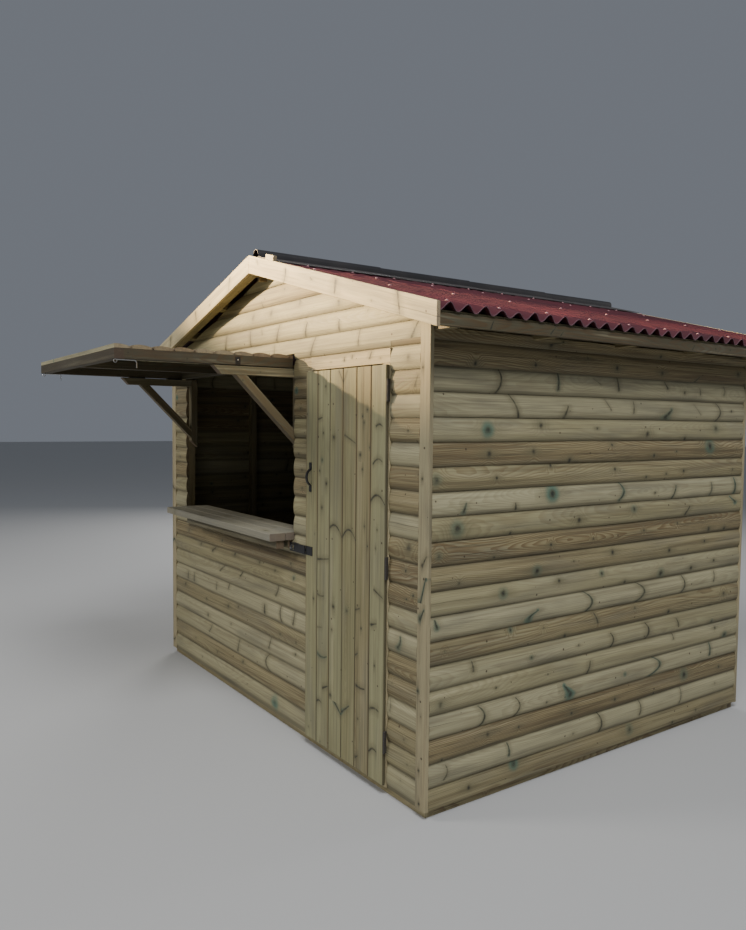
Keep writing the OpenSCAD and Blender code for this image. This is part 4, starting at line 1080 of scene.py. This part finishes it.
for side in (-1, 1):
    for y0 in (barge_low.y, barge_high.y - BARGE_T):
        marks = None
        if y0 == barge_low.y:
            marks = BARGE_RIGHT_MARKS if side == 1 else BARGE_LEFT_MARKS
        barges.sweep(
            square_profile(BARGE_W, BARGE_T), lambda v: (PEAK_GAP, barge_high.x),
            lambda u, v, w: (side * u, y0 + w, PEAK - SLOPE * u - v / math.cos(ROOF_PITCH)),
            f"{side} {y0:.2f}", step=0.2, wander=0.0006, tone="pale", marks=marks)
barges.finish(trim_pine, "kiosk", "trim_timber", "barge_boards")

# %% [markdown]
# The roof sheets are pressed from bitumen and fibre: a smooth wave about 38 mm high, sold in
# widths of ten waves and laid with one wave overlapped. A modifier could bend a flat grid, but
# a formula gives the wave, the thickness and the lap of each sheet at once. The soft sheets
# were cut with a saw, and some crests have sagged a little at the cut edge.
# %% Corrugated sheets
WAVE = 0.095
WAVE_H = 0.038
SHEET_T = 0.003
WAVE_STEPS = 14
SHEET_WAVES = 10
LAP_RISE = 0.0032
LAP_FADE_WAVES = 1.6
SLOPE_ROWS = 16
ROW_CROWDING = 1.6
SHEET_WAVER = 0.0006
SAG_REACH = 0.16
FIRST_CREST = 0.063
sheet_low, sheet_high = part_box("roof_sheet_right")
CREST_Y = sheet_low.y + FIRST_CREST
SLOPE_LEN = sheet_high.x / math.cos(ROOF_PITCH)


def on_slope(side, down, y, out):
    """A point on a roof slope: down from the ridge along it, and out square to it."""
    return (
        side * (down * math.cos(ROOF_PITCH) + out * math.sin(ROOF_PITCH)), y,
        PEAK - down * math.sin(ROOF_PITCH) + out * math.cos(ROOF_PITCH),
    )


def sheet_surface(y):
    """Height of a sheet's middle below the crests, and its slope there."""
    turn = 2 * math.pi * (y - CREST_Y) / WAVE
    swing = (WAVE_H - SHEET_T) / 2
    return -WAVE_H / 2 + swing * math.cos(turn), -swing * math.sin(turn) * 2 * math.pi / WAVE


def crest_sag(side, y, left):
    """How far a crest has sunk at y, where left is the length of slope still below it."""
    crest = math.floor((y - CREST_Y) / WAVE + 0.5)
    sunk = random.Random(f"sag {side} {crest}").choice((0.0, 0.0, 0.002, 0.005, 0.008))
    lift = 0.5 + 0.5 * math.cos(2 * math.pi * (y - CREST_Y) / WAVE)
    return sunk * lift * max(0.0, 1 - left / SAG_REACH) ** 2


def add_sheet(pile, side, first, last, lifted, seed):
    """One sheet from first to last along the hut, its first wave lying on the one before."""
    draw = random.Random(f"sheet {side} {seed}")
    shift = draw.uniform(0, 6)
    start = WAVE_H * math.tan(ROOF_PITCH) + 0.001
    columns = max(2, round((last - first) / WAVE * WAVE_STEPS))
    base = len(pile.points)
    for row in range(SLOPE_ROWS + 1):
        down = start + (SLOPE_LEN - start) * (1 - (1 - row / SLOPE_ROWS) ** ROW_CROWDING)
        for face in (1, -1):
            for i in range(columns + 1):
                y = first + (last - first) * i / columns
                middle, lean = sheet_surface(y)
                off = face * SHEET_T / 2 / math.hypot(1, lean)
                raised = -crest_sag(side, y, SLOPE_LEN - down)
                if lifted:
                    raised += LAP_RISE * max(0.0, 1 - (y - first) / (LAP_FADE_WAVES * WAVE))
                raised += SHEET_WAVER * math.sin(down * 5 + shift) * math.sin(y * 3 + shift)
                pile.points.append(on_slope(side, down, y - off * lean, middle + off + raised))
                pile.grain.append((down, y, off))
                pile.board.append((0, seed % 7 / 7, 0))
    width = columns + 1
    ring = 2 * width
    for row in range(SLOPE_ROWS):
        a = base + row * ring
        b = a + ring
        for i in range(columns):
            pile.faces.append((a + i, a + i + 1, b + i + 1, b + i))
            pile.faces.append((a + width + i, b + width + i, b + width + i + 1, a + width + i + 1))
        pile.faces.append((a, b, b + width, a + width))
        pile.faces.append((a + columns, a + width + columns, b + width + columns, b + columns))
    for a in (base, base + SLOPE_ROWS * ring):
        for i in range(columns):
            pile.faces.append((a + i, a + width + i, a + width + i + 1, a + i + 1))


SHEET_MAROON = (0.045, 0.0045, 0.0095, 1)
SHEET_WORN = (0.082, 0.0085, 0.0160, 1)
SHEET_DUST = (0.120, 0.036, 0.046, 1)
TROUGH_DUST = (0.075, 0.030, 0.036, 1)
SHEET_PITS = (0.030, 0.004, 0.007, 1)
CUT_EDGE = (0.26, 0.15, 0.18, 1)


def sheet_finish():
    """Maroon paint gone matt: dusty in the troughs, paler where the sheet was cut."""
    material, shader, place = new_finish("maroon_sheet", 0.62)
    x, y, z = place.parts()
    down, along, _ = place.stored("grain")
    blotch = place.speckle(2.5, 4.0, 0.6)
    grain = place.speckle(260, 3.0, 0.6)
    dust = place.noise(x * 9, y * 60, z * 9, 3.0)
    crest = ((along - CREST_Y) / WAVE * 2 * math.pi).maths("COSINE")
    cut = down.rise(SLOPE_LEN - 0.004, SLOPE_LEN - 0.0005)
    tone = place.coats(
        SHEET_MAROON,
        (SHEET_WORN, blotch.rise(0.3, 0.7)),
        (SHEET_DUST, dust.rise(0.5, 0.8) * 0.25),
        (TROUGH_DUST, crest.rise(-0.2, -1.0) * 0.35),
        (SHEET_PITS, grain.rise(0.55, 0.75) * 0.40),
        (CUT_EDGE, cut * 0.5))
    feed(shader, "Base Color", tone)
    feed(shader, "Roughness", grain * 0.3 + 0.50)
    feed_bump(shader, grain, 0.35)
    return material


maroon_sheet = sheet_finish()
SHEET_STEP = (SHEET_WAVES - 1) * WAVE
for side, word in ((1, "right"), (-1, "left")):
    slope_sheets = Pile("roof_sheets_" + word)
    sheet_count = math.ceil((sheet_high.y - sheet_low.y - WAVE) / SHEET_STEP)
    for number in range(sheet_count):
        y0 = sheet_low.y + number * SHEET_STEP
        y1 = min(sheet_high.y, y0 + SHEET_STEP + WAVE)
        add_sheet(slope_sheets, side, y0, y1, number > 0, number)
    slope_sheets.finish(maroon_sheet, "kiosk", "roof_sheet", "roof_sheet_" + word)

# %% [markdown]
# The ridge is covered by short lengths of a black cap with a raised roll. The roll and wings
# are one outline, the higher of a circle and two slopes with a soft join, and each length tips
# up a little so that its back end lies on the next one. The wings are painted paler than the
# roll, a painted highlight where they catch the light.
# %% Ridge cap
CAP_HALF_W = 0.285
CAP_ROLL_R = 0.030
CAP_ROLL_RISE = 0.008
CAP_T = 0.003
CAP_LAP = 0.110
CAP_COUNT = 4
cap_low, cap_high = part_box("ridge_cap")


def cap_height(x):
    wing = 0.0003 - SLOPE * abs(x) + CAP_T
    inside = CAP_ROLL_R * CAP_ROLL_R - x * x
    if inside <= 0:
        return wing
    roll = CAP_ROLL_RISE + math.sqrt(inside)
    blend = 0.004
    gap = max(blend - abs(roll - wing), 0) / blend
    return max(roll, wing) + gap * gap * blend / 4


def cap_outline():
    wide = [-CAP_HALF_W + (CAP_HALF_W - CAP_ROLL_R) * i / 6 for i in range(6)]
    turn = [-CAP_ROLL_R * math.cos(math.pi * i / 20) for i in range(21)]
    xs = wide + turn + [-x for x in reversed(wide)]
    top = [(x, cap_height(x)) for x in xs]
    under = [(x, z - CAP_T) for x, z in reversed(top)]
    return top + under


cap_step = (cap_high.y - cap_low.y - CAP_LAP) / CAP_COUNT
cap_tip = (CAP_T + 0.0006) / cap_step
cap_pile = Pile("ridge_cap_lengths")
for number in range(CAP_COUNT):
    y0 = cap_low.y + number * cap_step
    cap_pile.sweep(
        cap_outline(), lambda v: (0, cap_step + CAP_LAP - 0.001),
        lambda u, v, w: (v, y0 + u, PEAK + w + u * cap_tip), number,
        step=0.12, wander=0.0, marks=[])

CAP_BLACK = (0.008, 0.008, 0.010, 1)
CAP_WING_HIGHLIGHT = (0.060, 0.050, 0.045, 1)
CAP_BLOTCH = (0.035, 0.030, 0.029, 1)
CAP_SPECK = (0.10, 0.09, 0.085, 1)


def cap_finish():
    """Black paint, speckled all over, with a painted highlight on the wings."""
    material, shader, place = new_finish("black_cap", 0.55)
    x = place.parts()[0]
    grain = place.speckle(240, 3.0, 0.6)
    blotch = place.speckle(5, 4.0, 0.6)
    # Painted highlight: the wings are made paler than the roll.
    wing = x.size().rise(CAP_ROLL_R * 0.9, CAP_ROLL_R * 1.6)
    tone = place.coats(
        CAP_BLACK,
        (CAP_WING_HIGHLIGHT, wing * 0.8),
        (CAP_BLOTCH, blotch.rise(0.3, 0.75) * 0.5),
        (CAP_SPECK, grain.rise(0.6, 0.8) * 0.35))
    feed(shader, "Base Color", tone)
    feed(shader, "Roughness", grain * 0.3 + 0.46)
    feed_bump(shader, grain, 0.35)
    return material


black_cap = cap_finish()
cap_pile.finish(black_cap, "kiosk", "ridge_cap", "ridge_cap")

# %% [markdown]
# At the front end of the cap, on the right, a short offcut of trim stands in the trough of the
# first wave, against the back of the barge board. It is pale against the dark sheet, so it
# shows in the picture. It is swept like the boards, along the slope.
# %% Packing piece at the cap
PACKING_FROM = 0.172
PACKING_TO = 0.262
PACKING_T = 0.021
PACKING_LOW = -0.033
PACKING_HIGH = 0.027
packing = Pile("ridge_packing_piece")
packing.sweep(
    square_profile(PACKING_T, PACKING_HIGH - PACKING_LOW),
    lambda v: (PACKING_FROM, PACKING_TO),
    lambda u, v, w: on_slope(1, u, barge_low.y + BARGE_T + 0.001 + v, PACKING_LOW + w),
    "packing", step=0.1, wander=0.0, tone="pale", marks=[])
packing.finish(trim_pine, "kiosk", "trim_timber")

# %% [markdown]
# Nails and screws are many small round heads. They are gathered in one mesh: each head is a
# short dome of a few rings, turned to face out of the surface that it is driven into.
# %% Round heads
HEAD_SIDES = 12


def add_heads(pile, places, out, radius, height, brim=0.0):
    """Domed heads at places, facing along out, with a flat brim if one is asked for."""
    turn = Vector(out).normalized().to_track_quat("Z", "Y").to_matrix()
    rings = [(radius + brim, 0), (radius + brim, height * 0.25), (radius, height * 0.35),
             (radius * 0.8, height * 0.75), (radius * 0.4, height * 0.97)]
    for place in places:
        base = len(pile.points)
        for r, h in rings:
            for i in range(HEAD_SIDES):
                angle = 2 * math.pi * i / HEAD_SIDES
                local = Vector((r * math.cos(angle), r * math.sin(angle), h))
                pile.dot(Vector(place) + turn @ local)
        pile.dot(Vector(place) + turn @ Vector((0, 0, height)))
        pile.tube(base, len(rings), HEAD_SIDES)
        last = base + (len(rings) - 1) * HEAD_SIDES
        tip = base + len(rings) * HEAD_SIDES
        for i in range(HEAD_SIDES):
            pile.faces.append((last + i, last + (i + 1) % HEAD_SIDES, tip))
        pile.faces.append(tuple(base + i for i in reversed(range(HEAD_SIDES))))


def coated_finish(name, colour, roughness, metallic=0.0, wear=0.3):
    """Paint or zinc with a fine uneven skin and some wear."""
    material, shader, place = new_finish(name, roughness, metallic)
    skin = place.speckle(420, 2.0)
    rub = place.speckle(60, 4.0, 0.65)
    light = tuple(min(1.0, c * 2.2 + 0.03) for c in colour[:3]) + (1,)
    feed(shader, "Base Color", place.coats(colour, (light, rub.rise(0.55, 0.75) * wear)))
    feed(shader, "Roughness", rub * 0.25 + (roughness - 0.12))
    feed_bump(shader, skin, 0.08)
    return material


NAIL_ROSE = (0.40, 0.20, 0.21, 1)
IRON_BLACK = (0.012, 0.012, 0.013, 1)
ZINC_GREY = (0.62, 0.63, 0.64, 1)
HINGE_BROWN = (0.055, 0.048, 0.040, 1)
nail_cap = coated_finish("nail_cap", NAIL_ROSE, 0.4)
black_iron = coated_finish("black_iron", IRON_BLACK, 0.42)
bright_zinc = coated_finish("bright_zinc", ZINC_GREY, 0.3, metallic=1.0, wear=0.2)
dull_hinge = coated_finish("dull_hinge", HINGE_BROWN, 0.55, wear=0.4)

roof_nails = Pile("roof_nails")
NAIL_R = 0.0055
NAIL_H = 0.006
NAIL_BRIM = 0.003
NAIL_LIFT = 0.0002
# Each row's distance down the slope, and how many waves lie between its nails
NAIL_ROWS = ((1.66, 3), (1.13, 4), (0.60, 4), (0.36, 3))
for side in (-1, 1):
    normal = (side * math.sin(ROOF_PITCH), 0, math.cos(ROOF_PITCH))
    for row, (down, every) in enumerate(NAIL_ROWS):
        crest = CREST_Y + WAVE * (row % 2)
        crests = []
        while crest < sheet_high.y - 0.02:
            lift = NAIL_LIFT - crest_sag(side, crest, SLOPE_LEN - down)
            crests.append(on_slope(side, down, crest, lift))
            crest += WAVE * every
        add_heads(roof_nails, crests, normal, NAIL_R, NAIL_H, NAIL_BRIM)
roof_nails.finish(nail_cap, "kiosk", "roof_sheet")

# %% [markdown]
# The door is six tongued boards with a V joint between them, on three ledges. Each board is
# swept by itself, so the joints are real grooves with a dark slot at the bottom. Branches have
# left arrow shaped strokes in most of them, and two boards mirror each other round the middle
# joint. On the real door resin has run down that joint. Here the finish browns the edges of
# every board a little instead. The marks are counted up the door and across each board.
# %% Door
DOOR_BOARDS = 6
V_JOINT = 0.004
SLOT_HALF = 0.0008
SLOT_DEEP = 0.006
DOOR_LOOKS = [
    ("green", [knot(1730, 14, 4, 0, 0.5), knot(1120, 92, 6, 0, 0.4), knot(785, 84, 6),
               knot(100, 40, 7, 0, 0.4)]),
    ("green", [knot(1865, 75, 6, 0, 0.7), stroke(1708, 26, 18, 4, 0, 3), knot(1635, 55, 5),
               knot(1500, 45, 7, 0.3, 0.6), knot(1445, 22, 5), knot(1385, 86, 8),
               knot(1262, 44, 10, 0, 0.7), stroke(1003, 60, 52, 8, 0, 3.5),
               stroke(812, 36, 34, 0, -6, 3.5, 0, 0.7), stroke(650, 30, 24, 4, 0, 3, 0, 0.4),
               stroke(502, 50, 46, 0, -12, 4, 0.4, 0.7), stroke(358, 88, 26, 12, 0, 4),
               stroke(272, 26, 22, 2, 8, 4), knot(60, 40, 6, 0, 0.5)]),
    ("green", [stroke(1908, 98, 16, -24, 0, 3.5), knot(1615, 36, 9),
               stroke(1185, 55, 58, -14, 38, 4.5), knot(782, 40, 10), knot(662, 28, 7, 0, 0.7),
               knot(330, 18, 9), stroke(288, 84, 34, -26, 0, 5, 0.6)]),
    ("olive", [stroke(1908, 20, 16, 24, 0, 3.5), stroke(1610, 64, 46, -18, 0, 3.5, 0, 0.7),
               stroke(1178, 60, 56, -2, 42, 4.5), knot(785, 45, 10, 0.1, 0.5),
               stroke(300, 34, 34, 26, 0, 5, 0.6)]),
    ("tan", [knot(1748, 88, 5), knot(1718, 50, 5), knot(1688, 62, 6), knot(1575, 108, 4),
             knot(1540, 32, 8), knot(1472, 52, 6), knot(1210, 72, 5), knot(1120, 98, 4),
             stroke(812, 20, 18, 6, 0, 3), knot(728, 52, 5), stroke(596, 14, 12, 8, 0, 4),
             stroke(443, 48, 34, 0, -4, 4.5), knot(290, 30, 6, 0, 0.6), stroke(105, 22, 10, 6, 0, 5)]),
    ("green", [stroke(1682, 66, 22, 0, 8, 4, 0, 0.8), stroke(1525, 56, 34, 6, 16, 3.5),
               stroke(1362, 58, 54, -4, 34, 5), knot(1205, 56, 5, 0, 0.6), knot(1120, 46, 4),
               stroke(915, 72, 34, -14, 0, 3.2), stroke(770, 36, 20, 6, 0, 4), knot(580, 46, 5),
               stroke(382, 44, 34, 4, 8, 4.5), stroke(190, 36, 28, 8, 14, 4.5)]),
]
door_low, door_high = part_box("door_boards")
door_w = (door_high.x - door_low.x) / DOOR_BOARDS
door_t = door_high.y - door_low.y
door_leaf = Pile("door_leaf_boards")


def tongued_profile(width, thick):
    front = thick - V_JOINT
    return [
        (0, 0), (width, 0), (width, front - SLOT_DEEP), (width - SLOT_HALF, front - SLOT_DEEP),
        (width - SLOT_HALF, front), (width - V_JOINT, thick), (V_JOINT, thick),
        (SLOT_HALF, front), (SLOT_HALF, front - SLOT_DEEP), (0, front - SLOT_DEEP),
    ]


for number, (tone, marks) in enumerate(DOOR_LOOKS):
    x0 = door_low.x + number * door_w
    door_leaf.sweep(
        tongued_profile(door_w, door_t), lambda v: (door_low.z, door_high.z),
        lambda u, v, w: (x0 + v, door_high.y - w, u), number,
        step=0.3, wander=0.0, tone=tone, marks=marks)
door_leaf.finish(door_pine, "door", "door_timber", "door_boards")
print("Door boards", round(door_w * 1000, 1), "mm wide")

ledges = Pile("door_ledge_boards")
ledge_low, ledge_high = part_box("door_ledges")
LEDGE_W = 0.095
for middle in (ledge_low.z + LEDGE_W / 2, (door_low.z + door_high.z) / 2,
               ledge_high.z - LEDGE_W / 2):
    timber(ledges, (ledge_low.x, ledge_low.y, middle - LEDGE_W / 2),
           (ledge_high.x, ledge_high.y, middle + LEDGE_W / 2))
ledges.finish(trim_pine, "door", "door_timber", "door_ledges")

# %% [markdown]
# The counter is three planks laid side by side, greyed by the rain, on a rail set back under
# the outer edge. The picture shows the end of that rail, so it stops short of the planks.
# %% Counter
COUNTER_PLANKS = 3
PLANK_GAP = 0.002
counter_pile = Pile("counter_planks")
plank_w = (counter_high.y - counter_low.y) / COUNTER_PLANKS
PLANK_MARKS = [
    [knot(-1060, -1325, 9, 0, 0.8), knot(-640, -1320, 8, 0, 0.8), knot(180, -1290, 7)],
    [knot(-520, -1200, 9, 0, 0.7), knot(90, -1190, 6, 0, 0.7)],
    [knot(-250, -1100, 9, 0, 0.7), knot(150, -1085, 8)],
]
for number, marks in enumerate(PLANK_MARKS):
    y0 = counter_low.y + number * plank_w
    timber(counter_pile, (counter_low.x, y0, counter_low.z),
           (counter_high.x, y0 + plank_w - PLANK_GAP, counter_high.z), axis=0,
           seed=f"plank {number}", arris=0.003, tone="olive", marks=marks)
counter_pile.finish(counter_pine, "kiosk", "counter_timber", "counter")

rails_low, rails_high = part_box("counter_rails")
OUTER_RAIL_W = 0.045
INNER_RAIL_T = 0.025
rails = Pile("counter_rail_timbers")
timber(rails, rails_low, (rails_high.x, rails_low.y + OUTER_RAIL_W, rails_high.z), axis=0)
timber(rails, (rails_low.x, rails_high.y - INNER_RAIL_T, rails_low.z), rails_high, axis=0)
rails.finish(sawn_pine, "kiosk", "counter_timber", "counter_rails")

# %% [markdown]
# The shutter is a frame of battens with wall boards nailed on its outer face. It was drawn
# closed and lifted a quarter turn, so its boards now lie flat with their rounded faces up.
# %% Shutter
SQUARE_T = 0.045
flap_low, flap_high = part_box("flap_cladding")
AXIS_Z = flap_high.z
AXIS_Y = FRONT_FACE
FLAP_SWAY = 0.0016
FLAP_BOTTOM = AXIS_Z - (AXIS_Y - flap_low.y) + FLAP_SWAY
FLAP_TOP = AXIS_Z - (AXIS_Y - flap_high.y)
flap_boards = Pile("shutter_boards")
courses(flap_boards, lambda u, z, w: (u, AXIS_Y + z - AXIS_Z, AXIS_Z - CLAD_T + w),
        [(flap_low.x, flap_high.x, FLAP_BOTTOM, FLAP_TOP)], SHUTTER_LAPS, "flap")
flap_boards.finish(wall_pine, "shutter", "wall_boards", "flap_cladding")

battens = Pile("shutter_battens")
rib_low, rib_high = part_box("flap_ribs")
rail_low, rail_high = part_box("flap_rails")
for x0 in (rib_low.x, rib_high.x - SQUARE_T):
    timber(battens, (x0, rib_low.y, rib_low.z), (x0 + SQUARE_T, rib_high.y, rib_high.z),
           axis=1, tone="brown")
rib_x = (flap_low.x + flap_high.x - SQUARE_T) / 2
timber(battens, (rib_x, rib_low.y, rib_low.z),
       (rib_x + SQUARE_T, rib_high.y - SQUARE_T, rib_high.z), axis=1)
RAIL_SWAY = 0.0003
timber(battens, (rail_low.x, rail_low.y + RAIL_SWAY, rail_low.z),
       (rail_high.x, rail_low.y + SQUARE_T, rail_high.z), axis=0, tone="brown")
timber(battens, (rail_low.x + SQUARE_T, rail_high.y - SQUARE_T, rail_low.z),
       (rail_high.x - SQUARE_T, rail_high.y, rail_high.z), axis=0)
battens.finish(shaded_batten_pine, "shutter", "frame_timber", "flap_ribs", "flap_rails")

# %% [markdown]
# The shutter carries three small fittings. A black latch plate sits on the outside of the right
# end batten. Near each outer corner a zinc hook hangs under the battens, a bent wire with an
# eye. A curve with a round bevel would draw the wire in a few points, but a ring of points
# swept along the bend stays in the same kind of mesh as everything else.
# %% Shutter fittings
WIRE_R = 0.0025
WIRE_SIDES = 10


def add_wire(pile, path, radius=WIRE_R):
    """A round bar through the points of path, all in one plane of constant x."""
    base = len(pile.points)
    path = [Vector(point) for point in path]
    for i, point in enumerate(path):
        ahead = path[min(i + 1, len(path) - 1)] - path[max(i - 1, 0)]
        sideways = Vector((1, 0, 0))
        outward = ahead.normalized().cross(sideways)
        for j in range(WIRE_SIDES):
            angle = 2 * math.pi * j / WIRE_SIDES
            pile.dot(point + (sideways * math.cos(angle) + outward * math.sin(angle)) * radius)
    pile.tube(base, len(path), WIRE_SIDES)
    last = base + (len(path) - 1) * WIRE_SIDES
    pile.faces.append(tuple(base + j for j in range(WIRE_SIDES)))
    pile.faces.append(tuple(last + j for j in range(WIRE_SIDES)))


LATCH_Y = -1.522
LATCH_W = 0.028
LATCH_T = 0.001
LATCH_H = 0.040
SCREW_R = 0.004
SCREW_H = 0.0012
SCREW_AT = 0.6
latch_low = rib_low.z + 0.002
latch = Pile("shutter_latch_plate")
timber(latch, (rib_high.x, LATCH_Y - LATCH_W / 2, latch_low),
       (rib_high.x + LATCH_T, LATCH_Y + LATCH_W / 2, latch_low + LATCH_H),
       axis=2, seed="latch", arris=0.0003)
latch.finish(black_iron, "shutter", "black_iron")
latch_screw = Pile("shutter_latch_screw")
screw_place = (rib_high.x + LATCH_T, LATCH_Y, latch_low + LATCH_H * SCREW_AT)
add_heads(latch_screw, [screw_place], (1, 0, 0), SCREW_R, SCREW_H)
latch_screw.finish(bright_zinc, "shutter", "bright_zinc")

HOOK_TOP = rib_low.z - WIRE_R
HOOK_INSET = 0.023
HOOK_START_Y = -2.125
BEND_Y = -2.045
BEND_R = 0.012
POINT_Y = -2.033
POINT_DROP = 0.036
EYE_Y = -2.133
EYE_DROP = 0.006
EYE_R = 0.008
EYE_WIRE_R = 0.0018
hooks = Pile("shutter_cabin_hooks")
for x in (rib_low.x + HOOK_INSET, rib_high.x - HOOK_INSET):
    turns = [turn * math.pi / 12 for turn in range(7)]
    bend = [(x, BEND_Y + BEND_R * math.sin(turn), HOOK_TOP - BEND_R + BEND_R * math.cos(turn))
            for turn in turns]
    add_wire(hooks, [(x, HOOK_START_Y, HOOK_TOP)] + bend + [(x, POINT_Y, HOOK_TOP - POINT_DROP)])
    turns = [turn * math.pi / 8 for turn in range(1, 18)]
    eye = [(x, EYE_Y + EYE_R * math.cos(turn), HOOK_TOP - EYE_DROP + EYE_R * math.sin(turn))
           for turn in turns]
    add_wire(hooks, eye, EYE_WIRE_R)
hooks.finish(bright_zinc, "shutter", "bright_zinc")

# %% [markdown]
# Each bracket is a leg against the jamb, an arm under the shutter and a slanting brace. In the
# model it is one outline. Here it is three timbers, so that the grain follows each of them, and
# the joints between them show.
# %% Brackets
BRACE_INSET = 0.120


def bracket_timbers(pile, node, body):
    low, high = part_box(node)
    x0, width = low.x, high.x - low.x
    tip, back, top, foot = low.y, high.y, high.z, low.z
    leg_face = back - SQUARE_T
    arm_low = top - SQUARE_T
    brace_tip = tip + BRACE_INSET
    run = leg_face - brace_tip
    root = math.sqrt(0.5)
    for seed, tone, span, place in (
        ("leg", "tan", lambda v: (foot + SQUARE_T - v, top),
         lambda u, v, w: (x0 + w, leg_face + v, u)),
        ("arm", "olive", lambda v: (tip + SQUARE_T - v, leg_face),
         lambda u, v, w: (x0 + w, u, arm_low + v)),
        ("brace", "brown", lambda v: (v, run / root - v),
         lambda u, v, w: (x0 + w, brace_tip + (u + v) * root, arm_low - (u - v) * root)),
    ):
        pile.sweep(square_profile(SQUARE_T, width), span, place, seed,
                   step=0.25, wander=0.0, tone=tone)
    pile.finish(sawn_pine, body, "trim_timber", node)


bracket_timbers(Pile("left_bracket_timbers"), "bracket_left", "left_bracket")
bracket_timbers(Pile("right_bracket_timbers"), "bracket_right", "right_bracket")

# %% [markdown]
# The floor is boarded, and its boards are seen through the open door.
# %% Floor boards
FLOOR_BOARDS = 20
HALF_GAP = 0.0005
deck_low, deck_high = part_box("floor_boards")
deck = Pile("deck_boards")
deck_w = (deck_high.y - deck_low.y) / FLOOR_BOARDS
for number in range(FLOOR_BOARDS):
    y0 = deck_low.y + number * deck_w
    timber(deck, (deck_low.x, y0 + HALF_GAP, deck_low.z),
           (deck_high.x, y0 + deck_w - HALF_GAP, deck_high.z),
           axis=0, seed=f"deck {number}", arris=0.0015)
deck.finish(sawn_pine, "kiosk", "floor_timber", "floor_boards")

# %% [markdown]
# The framing inside keeps its packed shape. Its finish is the same pine with the grain turned
# along each timber.
# %% Framing and iron
def refinish(material, *names):
    """Gives packed nodes a finish, and leaves their shapes as they are."""
    for name in names:
        nodes[name].data.materials.clear()
        nodes[name].data.materials.append(material)
    print(material.name, "on", ", ".join(names))


refinish(frame_pine["X"], "floor_rims", "gable_wall_plates", "rafters", "verge_rafters")
refinish(frame_pine["Y"], "floor_joists", "side_wall_plates", "purlins_and_ridge_board")
refinish(frame_pine["Z"], "front_wall_studs", "wall_studs", "gable_studs")
refinish(black_iron, "flap_hinge_frame_leaves", "flap_hinge_leaves", "door_handle",
         "hasp_leaf", "hasp_strap", "bracket_left_hinges", "bracket_right_hinges")
refinish(dull_hinge, "hinge_frame_leaves", "door_hinge_leaves")
refinish(bright_zinc, "hasp_staple")
